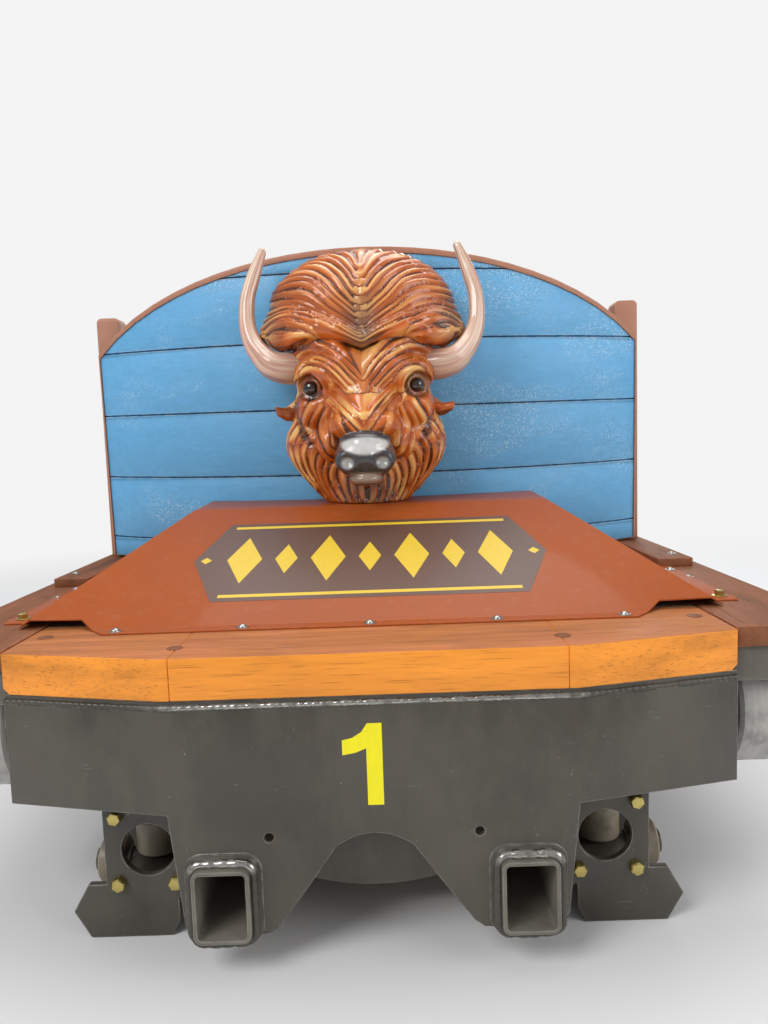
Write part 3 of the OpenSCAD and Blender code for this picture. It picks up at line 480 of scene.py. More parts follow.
def film(name, rgb, rough=0.38):
    """A thin film or painted mark, with faint streaks."""
    f = Finish(name)
    place = f.place()
    streak = f.noise(f.scaled(place, 90.0, 90.0, 20.0), 1.0, 3.0)
    worn = f.noise(place, 170.0, 3.0).rises(0.66, 0.74)
    return f.surface(Base_Color=f.mix(f.shade(rgb, 0.92 + 0.14 * streak), tint(rgb, 0.55), worn * 0.4),
                     Roughness=rough + 0.12 * streak, Normal=f.bump(streak, 0.00005))


@functools.cache
def numeral_film():
    return film("yellow numeral film", colour("numeral"))


@functools.cache
def band_ground():
    return film("band ground paint", colour("band"), 0.32)


@functools.cache
def band_yellow():
    return film("band yellow paint", paint(226, 190, 44), 0.34)


PLANK_FIRST = 313
PLANK_PITCH = 144.5


def plank_paint(name, along):
    """Light blue planks: drawn grain, white flecks in clouds, short dark dashes and darker joints."""
    f = Finish(name)
    place = f.place()
    height = f.split(place)[2]
    row = (height - (RAIL_Z + PLANK_FIRST * MM)) / (PLANK_PITCH * MM)
    tone = f.chance(row.floor())
    stretch = [150.0, 150.0, 150.0]
    stretch[along] = 4.0
    fine = f.noise(f.scaled(place, *stretch), 1.0, 4.0, 0.65)
    stretch[along] = 11.0
    wide = f.noise(f.scaled(place, *[0.35 * s for s in stretch]), 1.0, 3.0)
    base = f.shade(colour("planks"), 0.70 + 0.34 * fine + 0.22 * wide + 0.08 * tone)
    near = row.fraction() - 0.5
    joint = abs(near).rises(0.455, 0.497)
    stretch[along] = 26.0
    dash = f.noise(f.scaled(place, *[1.7 * s for s in stretch]), 1.0, 2.0).rises(0.70, 0.76)
    few = f.noise(place, 9.0, 2.0).rises(0.5, 0.6)
    dark = f.mix(base, tint(colour("planks"), 0.34), (dash * few * 0.75 + joint * 0.5).clamped())
    cloud = f.noise(f.scaled(place, 3.4, 3.4, 6.5), 1.0, 3.0, 0.6).rises(0.46, 0.66)
    speck = f.noise(place, 330.0, 2.0, 0.6).rises(0.55, 0.66)
    worn = f.mark("edge") * f.noise(place, 60.0, 3.0).rises(0.4, 0.6) * 0.35
    flecked = f.mix(dark, paint(214, 232, 240), (cloud * speck * 0.75 + worn).clamped())
    return f.surface(
        Base_Color=flecked,
        Roughness=0.40 + 0.18 * fine,
        Normal=f.bump(fine - dash * few - speck * cloud * 0.4, 0.0003))


@functools.cache
def front_planks():
    return plank_paint("front planks", 0)


@functools.cache
def side_planks():
    return plank_paint("side planks", 1)


@functools.cache
def carved_hair():
    """Painted carving under clear gloss: dark grooves, orange body, cream crests set off to each lock's upper side
    as painted highlight, painted shade in the hollows and on the crown, grey muzzle with painted highlights.
    """
    f = Finish("carved hair")
    flow, along, cut = f.mark("flow"), f.mark("along"), f.mark("cut")
    place = f.place()
    share = flow.fraction()
    back = f.node("ShaderNodeMath", {"operation": "SINE"}, {0: share * math.pi})
    strand = f.noise(f.join(flow * 7.0, along * 16.0, 0.0), 1.0, 3.0, 0.6)
    brush = f.noise(f.join(flow * 2.2, along * 30.0, 3.0), 1.0, 3.0)
    mane = colour("mane")
    body = f.shade(f.mix(tint(mane, 0.50), tint(mane, 1.22), f.mark("tone") + (brush - 0.5) * 0.8),
                   0.84 + 0.34 * strand)
    # The grey mark lays a brown-grey over the crown's middle above the parting and over its outer sides: painted
    # shade.
    dusty = f.mix(body, paint(104, 76, 62), f.mark("grey"))
    # Cream paint on each lock's crest, set off towards its upper side (its outer side on the cheek and beard):
    # partly cream paint, partly painted highlight.
    high = abs(share - 0.6).rises(0.36, 0.10)
    crest_cream_and_highlight = (f.mark("cream") * high * (0.55 + 1.5 * strand) * (1.0 - 0.7 * f.mark("shadow"))).clamped()
    lit = f.mix(dusty, colour("mane_light"), crest_cream_and_highlight)
    groove = back.rises(0.55, 0.14) * cut
    fine = strand.rises(0.42, 0.30) * 0.35
    dark = f.mix(lit, colour("mane_dark"), (groove * 0.9 + fine * 0.8 + f.mark("shadow") * 0.75).clamped())
    muzzle = f.mark("muzzle")
    patch = f.noise(place, 26.0, 3.0)
    # The silver mark is painted highlight: a pale grey laid on the muzzle's top and in the lower halves of the
    # nostril bowls.
    silver = (f.mark("silver") * (0.40 + 0.95 * patch)).clamped()
    grey = f.mix(f.shade(colour("muzzle"), 0.50 + 0.7 * patch), paint(204, 202, 198), silver)
    nose = f.mix(grey, paint(150, 128, 110), f.mark("lip"))
    hairy = 1.0 - muzzle
    return f.surface(
        Base_Color=f.mix(dark, nose, muzzle.rises(0.3, 0.7)),
        Roughness=0.40 - 0.10 * muzzle + 0.12 * strand * hairy,
        Specular_IOR_Level=0.3,
        Normal=f.bump((strand * 0.7 - groove) * hairy, 0.0012, 0.8),
        Coat_Weight=0.9, Coat_Roughness=0.07)


@functools.cache
def painted_horn():
    """Pinkish cream horns with long streaks, browner at the root."""
    f = Finish("painted horn")
    around = f.mark("around")
    along = f.mark("along")
    streak = f.noise(f.join(around * 5.0, along * 5.0, 0.0), 1.0, 4.0, 0.62)
    patch = f.noise(f.join(around * 1.5, along * 9.0, 4.0), 1.0, 3.0)
    base = f.ramp(streak, (0.30, paint(150, 104, 84)), (0.44, paint(206, 160, 140)),
                  (0.58, colour("horn")), (0.78, paint(242, 228, 204)))
    pink = f.mix(base, paint(212, 148, 132), patch.rises(0.5, 0.75) * 0.55)
    root = along.rises(0.11, 0.01)
    return f.surface(
        Base_Color=f.mix(pink, paint(122, 74, 56), root * 0.6),
        Roughness=0.30 + 0.12 * streak,
        Normal=f.bump(streak, 0.0012, 0.8),
        Coat_Weight=0.85, Coat_Roughness=0.08)


@functools.cache
def glossy_eye():
    """A dark pupil, a brown iris and a darker rim under gloss."""
    f = Finish("glossy eye")
    ring = f.mark("ring")
    veined = f.noise(f.place(), 260.0, 3.0)
    iris = f.shade(paint(46, 32, 28), 0.7 + 0.6 * veined)
    return f.surface(
        Base_Color=f.mix(f.mix(paint(16, 12, 12), iris, ring.rises(0.34, 0.42)), paint(30, 18, 14),
                         ring.rises(0.74, 0.9)),
        Roughness=0.12, Normal=f.bump(veined, 0.00003), Coat_Weight=1.0, Coat_Roughness=0.03)


@functools.cache
def grained_vinyl():
    """Dark vinyl with a fine pebble grain, a little paler where riders rub it."""
    f = Finish("grained vinyl")
    place = f.place()
    pebble = f.cells(place, 620.0)
    crease = f.noise(place, 60.0, 4.0, 0.6)
    rubbed = f.noise(place, 7.0, 3.0).rises(0.45, 0.75)
    return f.surface(
        Base_Color=f.shade(colour("vinyl"), 0.72 + 0.35 * rubbed + 0.25 * crease),
        Roughness=0.50 - 0.12 * rubbed + 0.12 * crease,
        Normal=f.bump(pebble * 0.6 + crease * 0.9, 0.0005, 0.7))


@functools.cache
def piping_vinyl():
    """The cushions' vinyl, darker, with fine creases."""
    f = Finish("piping vinyl")
    place = f.place()
    crease = f.noise(place, 180.0, 3.0)
    return f.surface(Base_Color=f.shade(tint(colour("vinyl"), 0.62), 0.8 + 0.4 * crease),
                     Roughness=0.42 + 0.1 * crease, Normal=f.bump(crease, 0.0002))


def tread_paint(name, rgb):
    """Cast tread: running marks round it, grime in patches."""
    f = Finish(name)
    place = f.place()
    band = f.noise(f.scaled(place, 300.0, 6.0, 6.0), 1.0, 4.0, 0.6)
    grime = f.noise(place, 30.0, 4.0, 0.65).rises(0.42, 0.72)
    return f.surface(
        Base_Color=f.mix(f.shade(rgb, 0.78 + 0.4 * band), tint(rgb, 0.42), grime * 0.6),
        Roughness=0.36 + 0.25 * grime,
        Normal=f.bump(band + grime * 0.5, 0.0003))


@functools.cache
def road_tread():
    return tread_paint("road tread", colour("tread"))


@functools.cache
def guide_tread():
    return tread_paint("guide tread", paint(150, 138, 118))


# Meshes

def settle(mesh, angle=32.0):
    """Smooth shading with sharp edges kept."""
    mesh.polygons.foreach_set("use_smooth", np.ones(len(mesh.polygons), bool))
    mesh.set_sharp_from_angle(angle=math.radians(angle))
    return mesh


def add_piece(mesh, material, body=CAR, stands_for=()):
    """A mesh in one material as a piece of the car, under the mesh's own name."""
    piece = bpy.data.objects.new(mesh.name, mesh)
    bpy.context.scene.collection.objects.link(piece)
    mesh.materials.append(material)
    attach(piece, body)
    if stands_for:
        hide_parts(*stands_for)
    return piece


def softened(node, width, material, segments=2, angle=32.0):
    """A copy of a rigid node with its hard edges rounded and marked, which stands for the node."""
    bm = bmesh.new()
    bm.from_mesh(frame["nodes"][node].data)
    bmesh.ops.remove_doubles(bm, verts=bm.verts, dist=2e-5)
    bmesh.ops.dissolve_limit(bm, angle_limit=math.radians(0.6), verts=bm.verts, edges=bm.edges)
    bmesh.ops.triangulate(bm, faces=bm.faces[:])
    hard = [e for e in bm.edges if e.is_manifold and e.calc_face_angle(0.0) > math.radians(angle)]
    mark = bm.faces.layers.float.new("edge")
    made = bmesh.ops.bevel(bm, geom=hard, offset=width, segments=segments, profile=0.5,
                           affect="EDGES", clamp_overlap=False)
    for face in made["faces"]:
        face[mark] = 1.0
    bmesh.ops.remove_doubles(bm, verts=bm.verts, dist=1e-6)
    mesh = bpy.data.meshes.new(node + "_finish")
    bm.to_mesh(mesh)
    bm.free()
    return add_piece(settle(mesh), material, stands_for=[node])


def axes_to(direction):
    """Two unit vectors square to a direction, and the direction itself."""
    w = Vector(direction).normalized()
    u = w.orthogonal().normalized() if abs(w.z) > 0.9 else Vector((0, 0, 1)).cross(w).normalized()
    return u, w.cross(u), w


def angles_round(sides):
    """Equal steps of angle round a circle."""
    return np.arange(sides) * 2 * math.pi / sides


def spokes(angles, u, v):
    """Unit spokes at the given angles in the plane of u and v."""
    return np.cos(angles)[:, None] * u + np.sin(angles)[:, None] * v


class Shape:
    """The vertices, faces and numbers of one piece, gathered part by part."""

    def __init__(self):
        self.verts = []
        self.faces = []
        self.marks = {}
        self.count = 0

    def add(self, verts, faces, **marks):
        verts = np.asarray(verts, float).reshape(-1, 3)
        self.verts.append(verts)
        self.faces += [tuple(int(i) + self.count for i in face) for face in faces]
        for name, values in marks.items():
            self.marks.setdefault(name, []).append((self.count, np.broadcast_to(values, len(verts))))
        self.count += len(verts)

    def rings(self, rings, closed=False, **marks):
        """A skin over rings of equally many points, capped at both ends unless it is closed."""
        rings = np.asarray(rings, float)
        rows, sides = rings.shape[:2]
        faces = []
        for i in range(rows if closed else rows - 1):
            a, b = i * sides, (i + 1) % rows * sides
            faces += [(a + k, a + (k + 1) % sides, b + (k + 1) % sides, b + k) for k in range(sides)]
        if not closed:
            faces.append(tuple(range(sides))[::-1])
            faces.append(tuple((rows - 1) * sides + k for k in range(sides)))
        self.add(rings.reshape(-1, 3), faces, **marks)

    def lathe(self, place, axis, profile, sides=32, turn=0.0):
        """A turned form: the profile's pairs are a radius and a height along the axis."""
        u, v, w = (np.array(a) for a in axes_to(axis))
        around = spokes(turn + angles_round(sides), u, v)
        self.rings([np.array(place) + around * r + w * h for r, h in profile])

    def sweep(self, path, radii, sides, closed=False):
        """A round bar of changing radius along a path."""
        path = np.asarray(path, float)
        ahead = np.roll(path, -1, 0) - np.roll(path, 1, 0)
        if not closed:
            ahead[0], ahead[-1] = path[1] - path[0], path[-1] - path[-2]
        ahead /= np.linalg.norm(ahead, axis=1)[:, None]
        side = np.array(axes_to(ahead[0])[0])
        radii = np.broadcast_to(radii, len(path))
        angles = angles_round(sides)
        made = []
        for p, w, r in zip(path, ahead, radii):
            side = side - w * (side @ w)
            side /= np.linalg.norm(side)
            made.append(p + r * spokes(angles, side, np.cross(w, side)))
        self.rings(made, closed)

    def slab(self, outline, place, u, v, thickness):
        """A flat outline in the plane of u and v, raised along their normal."""
        u, v = np.array(u, float), np.array(v, float)
        n = np.cross(u, v)
        flat = np.array([np.array(place) + a * u + b * v for a, b in outline])
        self.rings([flat, flat + n * thickness])

    def mesh(self, name, angle=32.0):
        made = bpy.data.meshes.new(name)
        made.from_pydata(np.concatenate(self.verts).tolist(), [], self.faces)
        for mark, parts in self.marks.items():
            values = np.zeros(self.count, np.float32)
            for start, numbers in parts:
                values[start:start + len(numbers)] = numbers
            made.attributes.new(mark, "FLOAT", "POINT").data.foreach_set("value", values)
        made.validate()
        return settle(made, angle)


def spread(path, step, closed=False):
    """Points at equal steps along straight lines between the given ones."""
    path = [np.array(p, float) for p in path]
    if closed:
        path.append(path[0])
    made = []
    for a, b in zip(path, path[1:]):
        n = max(1, round(np.linalg.norm(b - a) / step))
        made += [a + (b - a) * i / n for i in range(n)]
    return np.array(made if closed else made + [path[-1]])


def curve_through(points, steps):
    """A smooth line through points of any dimension, with that many steps between two of them."""
    p = np.array(points, float)
    p = np.vstack([2 * p[0] - p[1], p, 2 * p[-1] - p[-2]])
    made = []
    for i in range(1, len(p) - 2):
        for t in np.arange(steps) / steps:
            made.append(0.5 * (2 * p[i] + (p[i + 1] - p[i - 1]) * t
                               + (2 * p[i - 1] - 5 * p[i] + 4 * p[i + 1] - p[i + 2]) * t * t
                               + (3 * p[i] - p[i - 1] - 3 * p[i + 1] + p[i + 2]) * t ** 3))
    return np.array(made + [p[-2]])


def weld_bead(shape, path, radius, closed=False, seed=1):
    """A rippled bead of weld along a path."""
    rng = np.random.default_rng(seed)
    path = spread(path, radius * 0.45, closed)
    wander = rng.normal(0, 1, len(path))
    wander = np.convolve(np.pad(wander, 4, mode="wrap"), np.ones(9) / 9, "valid")
    ripple = 0.80 + 0.16 * np.abs(np.sin(np.arange(len(path)) * 0.62)) + 0.22 * wander
    shape.sweep(path, radius * ripple, 9, closed)


def hex_bolt(shape, place, axis, flats, washer=True, turn=0.0):
    """A bolt head with its chamfer, on a washer."""
    r = flats / math.sqrt(3)
    seat = 0.0
    if washer:
        seat = flats * 0.11
        shape.lathe(place, axis, [(flats * 0.86, 0), (flats * 0.90, seat * 0.3),
                                  (flats * 0.90, seat * 0.8), (flats * 0.86, seat)], 30)
    shape.lathe(place, axis, [(r, seat), (r, seat + flats * 0.52), (r * 0.86, seat + flats * 0.62)], 6, turn)
    shape.lathe(place, axis, [(flats * 0.42, seat + flats * 0.6), (flats * 0.42, seat + flats * 0.635),
                              (flats * 0.36, seat + flats * 0.65)], 24)


def pan_screw(shape, place, axis, radius):
    """A domed screw head on a thin washer, with a round drive recess."""
    washer = [(radius * 1.55, 0), (radius * 1.6, radius * 0.1), (radius * 1.5, radius * 0.2)]
    shape.lathe(place, axis, washer, 28)
    dome = [(radius * math.cos(a), radius * (0.2 + 0.62 * math.sin(a)))
            for a in np.radians([0, 18, 36, 54, 68])]
    recess = [(radius * 0.30, radius * 0.79), (radius * 0.26, radius * 0.50), (radius * 0.06, radius * 0.42)]
    shape.lathe(place, axis, [(radius, 0.1 * radius)] + dome + recess, 28)


# Steelwork

TUBE_X, TUBE_Z = 212, -96
TUBE_W, TUBE_H = 80, 105
COLLAR_D = 12
BUMPER_TOP = 176
KNEE, WING_TIP, SWEEP = 285, 526, 55
CARRIER_BOLTS = [(303, -118), (388, -118), (388, -14)]
AXLES = {"front": 200, "rear": 1850}
CARRIER_HALF = 115
NUMERAL = [(15, 33), (15, 149), (-5, 149), (-13, 137), (-26, 129), (-40, 126), (-40, 105),
           (-22, 108), (-7, 114), (-7, 33)]


def ring_path(cx, cz, w, h, y, corner):
    """A rounded rectangle in X and Z."""
    made = []
    for sx, sz, start in ((1, 1, 0), (-1, 1, 90), (-1, -1, 180), (1, -1, 270)):
        for a in np.radians(np.linspace(start, start + 90, 6)):
            made.append(at(cx + sx * (w / 2 - corner) + corner * math.cos(a), y,
                           cz + sz * (h / 2 - corner) + corner * math.sin(a)))
    return made


class CAR_OT_steelwork(bpy.types.Operator):
    """Round, paint and weld the bumper, the chassis and the wheel carriers"""

    bl_idname = "car.steelwork"
    bl_label = "Steelwork"

    def execute(self, context):
        s = sizes()
        for node in ("bumper", "rear_plate"):
            softened(node, s.plate_round, plate_paint())
        for node in ("buffer_plate", "cross_members", "deck_rails", "deck_bearers", "axle_beam_front",
                     "axle_beam_rear"):
            softened(node, s.plate_round, chassis_paint())
        for side in SIDES:
            softened(f"frame_tube_{side}", s.plate_round, tube_paint())
        for end in ENDS:
            for side in SIDES:
                softened(f"carrier_{end}_{side}", s.plate_round, plate_paint())
        softened("rear_coupling", s.plate_round, machined_steel())
        softened("lap_brackets", s.plate_round, plate_paint())
        self.welds(s)
        self.bolts(s)
        self.numeral()
        return {"FINISHED"}

    def welds(self, s):
        seam = Shape()
        top = BUMPER_TOP + 2
        half = [at(0, 2, top), at(KNEE, 2, top), at(WING_TIP - 1, SWEEP + 2, top)]
        mirrored = [Vector((-p.x, p.y, p.z)) for p in half[:0:-1]]
        weld_bead(seam, mirrored + half, s.weld_radius * 0.8, seed=3)
        # The edge mark, which the paint shows as bright bare steel, covers the bead from the middle out to the
        # knees: painted highlight.
        away = np.abs(np.concatenate(seam.verts)[:, 0]) / MM
        seam.marks["edge"] = [(0, smooth_between(KNEE + 40, KNEE - 60, away))]
        add_piece(seam.mesh("bumper_weld", 60), weld_wear_and_highlight())
        rings = Shape()
        for k, sg in enumerate(SIDES.values()):
            weld_bead(rings, ring_path(sg * TUBE_X, TUBE_Z, TUBE_W + 8, TUBE_H + 8, -COLLAR_D + 1, 16),
                      s.weld_radius * 1.4, True, 5 + k)
        # The edge mark on the top of each collar weld shows there as bright bare steel: painted highlight on the
        # lit top.
        rise = np.concatenate(rings.verts)[:, 2] - at(0, 0, TUBE_Z).z
        rings.marks["edge"] = [(0, smooth_between(0.042, 0.056, rise))]
        add_piece(rings.mesh("collar_welds", 60), weld_wear_and_highlight())

    def bolts(self, s):
        shape = Shape()
        for end in ENDS:
            for sg in SIDES.values():
                for face in (-1, 1):
                    y = AXLES[end] + face * CARRIER_HALF
                    for k, (x, z) in enumerate(CARRIER_BOLTS):
                        hex_bolt(shape, at(sg * x, y, z), (0, face, 0), s.bolt_flats, False, 0.4 * k)
        add_piece(shape.mesh("carrier_bolts"), yellow_zinc())

    def numeral(self):
        shape = Shape()
        outline = [(x * MM, z * MM) for x, z in NUMERAL]
        shape.slab(outline, at(0, 0, 0), (1, 0, 0), (0, 0, 1), 0.4 * MM)
        add_piece(shape.mesh("bumper_numeral"), numeral_film())


# Wheels

# How far from its axle the steel of a wheel's hub reaches, in mm
HUB_REACH = {"road": 83, "guide": 22, "upstop": 22}


class CAR_OT_wheels(bpy.types.Operator):
    """Give the road, guide and upstop wheels their treads and hubs"""

    bl_idname = "car.wheels"
    bl_label = "Wheels"

    def execute(self, context):
        treads = {"road": road_tread(), "guide": guide_tread(), "upstop": guide_tread()}
        for kind, tread in treads.items():
            for end in ENDS:
                for side in SIDES:
                    self.dress(f"{kind}_wheel_{end}_{side}", tread, HUB_REACH[kind] * MM)
        return {"FINISHED"}

    def dress(self, node, tread, hub_reach):
        """Faces within the hub's reach of the axle take steel."""
        thing = frame["nodes"][node]
        low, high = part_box(node)
        middle = (low + high) / 2
        axis = 2 if node.startswith("guide") else 0
        thing.data.materials.clear()
        thing.data.materials.append(tread)
        thing.data.materials.append(chassis_paint())
        for face in thing.data.polygons:
            offset = face.center - middle
            offset[axis] = 0.0
            face.material_index = 1 if offset.length < hub_reach else 0


# Timber

PLUGS = [(-275, 52), (275, 52), (-497, 139), (497, 139)]
TIMBER_TOP = 248


class CAR_OT_timber(bpy.types.Operator):
    """Round and grain the bumper timber, the boards and the floor"""

    bl_idname = "car.timber"
    bl_label = "Timber"

    def execute(self, context):
        s = sizes()
        softened("bumper_timbers", s.timber_round, bumper_timber(), segments=3)
        for side in SIDES:
            softened(f"side_board_{side}", s.timber_round, side_boards_wood())
            softened(f"step_board_{side}", s.timber_round, side_boards_wood())
        softened("deck_floor", s.plate_round, floor_wood())
        self.plugs()
        self.board_screws(s)
        return {"FINISHED"}

    def plugs(self):
        """Turned plugs over the timber's bolts, a hair proud of it."""
        shape = Shape()
        for x, y in PLUGS:
            shape.lathe(at(x, y, TIMBER_TOP), (0, 0, 1), [(11.5 * MM, -0.5 * MM), (11.5 * MM, 0.6 * MM),
                                                          (10.8 * MM, 1.0 * MM)], 32)
        add_piece(shape.mesh("timber_plugs"), side_boards_wood())

    def board_screws(self, s):
        """Screws along the side boards up to the step boards, and along those."""
        shape = Shape()
        radius = s.screw_radius * 0.9
        low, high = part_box("side_board_right")
        low_step, high_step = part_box("step_board_right")
        for sg in SIDES.values():
            for y in np.linspace(low.y + 0.05, high.y - 0.05, 7):
                if y < low_step.y:
                    pan_screw(shape, Vector((sg * (low.x + high.x) / 2, y, high.z)), (0, 0, 1), radius)
            for y in np.linspace(low_step.y + 0.06, high_step.y - 0.06, 6):
                pan_screw(shape, Vector((sg * (high_step.x - 0.022), y, high_step.z)), (0, 0, 1), radius)
        add_piece(shape.mesh("board_screws"), screw_steel())


# Nose cover

COVER_LOW, COVER_HIGH = (166, 251), (500, 405)
COVER_SCREWS = [(x, 152) for x in (-394, -197, 0, 197, 394)] + [(-600, 517), (600, 517)]
COVER_BOLT = (588, 262)
COVER_ROUND = 0.0009
BAND_HALF_W, BAND_TIP, BAND_SHARE = 0.262, 0.050, 0.33
BAND_LINE, BAND_LINE_IN = 0.008, 0.014
BAND_T, MARK_T = 0.35 * MM, 0.25 * MM
LOZENGES, LOZENGE_PITCH = 7, 0.074
LOZENGE_LARGE, LOZENGE_SMALL = (0.031, 0.072), (0.020, 0.046)


class CAR_OT_cover(bpy.types.Operator):
    """Paint the nose cover, screw it down and lay the band of lozenges on it"""

    bl_idname = "car.cover"
    bl_label = "Nose cover"

    def execute(self, context):
        s = sizes()
        softened("nose_cover", COVER_ROUND, cover_paint(), angle=14.0)
        silver, yellow = Shape(), Shape()
        for x, y in COVER_SCREWS:
            pan_screw(silver, at(x, y, COVER_LOW[1]), (0, 0, 1), s.screw_radius)
        for sg in SIDES.values():
            place = at(sg * COVER_BOLT[0], COVER_BOLT[1], COVER_LOW[1])
            hex_bolt(yellow, place, (0, 0, 1), s.bolt_flats * 0.72)
        add_piece(silver.mesh("cover_screws"), screw_steel())
        add_piece(yellow.mesh("cover_bolts"), yellow_zinc())
        self.band()
        return {"FINISHED"}

    def band(self):
        """A straight row of lozenges and bars on a dark ground, on the sloping panel."""
        (y0, z0), (y1, z1) = COVER_LOW, COVER_HIGH
        slope = Vector((0, y1 - y0, z1 - z0))
        reach = slope.length
        up = slope.normalized()
        normal = Vector((1, 0, 0)).cross(up)
        centre = at(0, y0, z0) + slope * (0.50 * MM)
        half_w, half_h, tip = BAND_HALF_W, BAND_SHARE * reach * MM, BAND_TIP
        ground = Shape()
        outline = [(-half_w, -half_h), (half_w, -half_h), (half_w + tip, 0), (half_w, half_h),
                   (-half_w, half_h), (-half_w - tip, 0)]
        ground.slab(outline, centre, (1, 0, 0), up, BAND_T)
        add_piece(ground.mesh("band_ground"), band_ground())
        marks = Shape()
        lifted = centre + normal * BAND_T
        run = half_w - 0.01
        for edge in (-1, 1):
            z = edge * (half_h - BAND_LINE_IN)
            low, high = z - BAND_LINE / 2, z + BAND_LINE / 2
            marks.slab([(-run, low), (run, low), (run, high), (-run, high)], lifted, (1, 0, 0), up, MARK_T)
        for k in range(LOZENGES):
            x = (k - (LOZENGES - 1) / 2) * LOZENGE_PITCH
            w, h = LOZENGE_LARGE if k % 2 == 0 else LOZENGE_SMALL
            marks.slab([(x, -h), (x + w, 0), (x, h), (x - w, 0)], lifted, (1, 0, 0), up, MARK_T)
        for sg in (-1, 1):
            tip_x = sg * (half_w + tip - 0.022)
            marks.slab([(tip_x - 0.010, 0), (tip_x, -0.010), (tip_x + 0.010, 0), (tip_x, 0.010)],
                       lifted, (1, 0, 0), up, MARK_T)
        add_piece(marks.mesh("band_lozenges"), band_yellow())


# Body of boards

class CAR_OT_body(bpy.types.Operator):
    """Paint the planked front board, the sides, the back and their edging"""

    bl_idname = "car.body"
    bl_label = "Planked body"

    def execute(self, context):
        s = sizes()
        thin, thick = s.plate_round, s.timber_round
        boards = [("front_board", thin, front_planks, "blue_planks"),
                  ("front_board_trim", thin, tan_trim, "tan_trim"),
                  ("corner_posts", thick, tan_trim, "tan_trim"),
                  ("board_battens", thin, batten_softwood, "batten_wood"),
                  ("back_panel", thin, front_planks, "blue_planks"),
                  ("back_cap", thick, tan_trim, "tan_trim")]
        for side in SIDES:
            boards += [(f"side_panel_{side}", thin, side_planks, "blue_planks"),
                       (f"side_cap_{side}", thick, tan_trim, "tan_trim")]
        for node, round_over, finish, slot in boards:
            softened(node, round_over, finish(), angle=40.0)
        return {"FINISHED"}


# Carved head

BOARD_R, BOARD_Y, BOARD_FOOT, BOARD_LEAN = 1300, 685, 267, math.radians(2.2)
COVER_DECK = 405.7
HEAD_SHIFT = -5
HORN = [(104, 584, 684, 30), (140, 570, 681, 32), (178, 559, 686, 29.5), (203, 567, 706, 24.5),
        (224, 579, 736, 20), (235, 590, 774, 17), (234, 600, 826, 15.5), (219, 608, 878, 13.5),
        (201, 612, 924, 8.5)]
HEAD_ROOM = ((0, 222), (396, 716), (398, 930))
EYE = (104.5, 540, 638)
EYE_R = 17
NOSTRIL = (33, 414, 493)
SMILE = ((0, 430, 470, 3.2), (34, 440, 471, 3.4), (62, 462, 480, 4.5), (87, 498, 496, 5), (109, 520, 520, 5),
         (127, 540, 551, 5), (140, 560, 586, 4))


def ellipsoid(p, place, radii):
    """Distance to an ellipsoid, close enough near its surface."""
    d = [a - c for a, c in zip(p, place)]
    k0 = np.sqrt(sum((a / r) ** 2 for a, r in zip(d, radii)))
    k1 = np.sqrt(sum((a / (r * r)) ** 2 for a, r in zip(d, radii)))
    return k0 * (k0 - 1) / np.maximum(k1, 1e-9)


def limb(p, *stations, blend=10.0):
    """Distance to a chain of tapering bars: each station is a place and a radius."""
    made = None
    for a, b in zip(stations, stations[1:]):
        d = [u - v for u, v in zip(p, a)]
        e = [v - u for u, v in zip(a, b)][:3]
        t = np.clip(sum(u * v for u, v in zip(d, e)) / sum(v * v for v in e), 0, 1)
        bar = np.sqrt(sum((u - t * v) ** 2 for u, v in zip(d, e))) - (a[3] + t * (b[3] - a[3]))
        made = bar if made is None else merge(made, bar, blend)
    return made


def merge(a, b, k):
    """Smooth union."""
    h = np.maximum(k - np.abs(a - b), 0) / k
    return np.minimum(a, b) - h * h * k / 4


def carve(a, b, k):
    """Smooth difference: b is taken out of a."""
    return -merge(-a, b, k)


def head_masses(x, y, z):
    """Distances to the head's masses, in mm, for its right half mirrored."""
    p = (np.abs(x), y, z)
    crown = ellipsoid(p, (0, 628, 794), (196, 124, 129))
    crown = merge(crown, ellipsoid(p, (112, 594, 766), (88, 60, 36)), 26)
    rim = limb(p, (0, 505, 729, 15), (45, 506, 746, 16), (82, 513, 752, 18), (122, 532, 743, 21),
               (160, 562, 740, 24), (188, 594, 751, 20), blend=8)
    crown = merge(crown, rim, 16)
    face = ellipsoid(p, (0, 560, 640), (112, 68, 74))
    for place, radii, blend in (((84, 562, 664), (60, 54, 42), 20), ((86, 566, 600), (56, 58, 50), 20),
                                ((40, 520, 668), (60, 40, 42), 22), ((56, 548, 530), (44, 48, 42), 22)):
        face = merge(face, ellipsoid(p, place, radii), blend)
    face = merge(face, limb(p, (0, 514, 650, 28), (0, 508, 600, 40), (0, 498, 566, 44)), 22)
    face = merge(face, ellipsoid(p, (36, 498, 560), (34, 42, 28)), 14)
    face = merge(face, limb(p, (0, 506, 660, 18), (28, 506, 690, 18), (52, 516, 712, 18), (82, 530, 722, 17),
                            (112, 548, 718, 15), (132, 560, 704, 13), blend=8), 14)
    muzzle = ellipsoid(p, (0, 474, 500), (60, 46, 40))
    for place, radii, blend in (((0, 476, 478), (46, 40, 22), 10), ((0, 488, 532), (48, 44, 22), 16),
                                ((31, 445, 494), (26, 24, 25), 9), ((0, 464, 458), (33, 30, 14), 4)):
        muzzle = merge(muzzle, ellipsoid(p, place, radii), blend)
    beard = limb(p, (90, 606, 556, 60), (94, 602, 526, 66), (63, 600, 478, 60), (36, 596, 424, 46),
                 (26, 592, 384, 40), blend=22)
    beard = merge(beard, ellipsoid(p, (0, 600, 520), (120, 74, 70)), 24)
    beard = merge(beard, limb(p, (0, 574, 470, 64), (0, 570, 390, 58)), 20)
    ear = limb(p, (136, 602, 608, 13), (160, 594, 590, 13), (174, 588, 594, 9), (182, 582, 602, 4), blend=6)
    return crown, face, muzzle, beard, ear


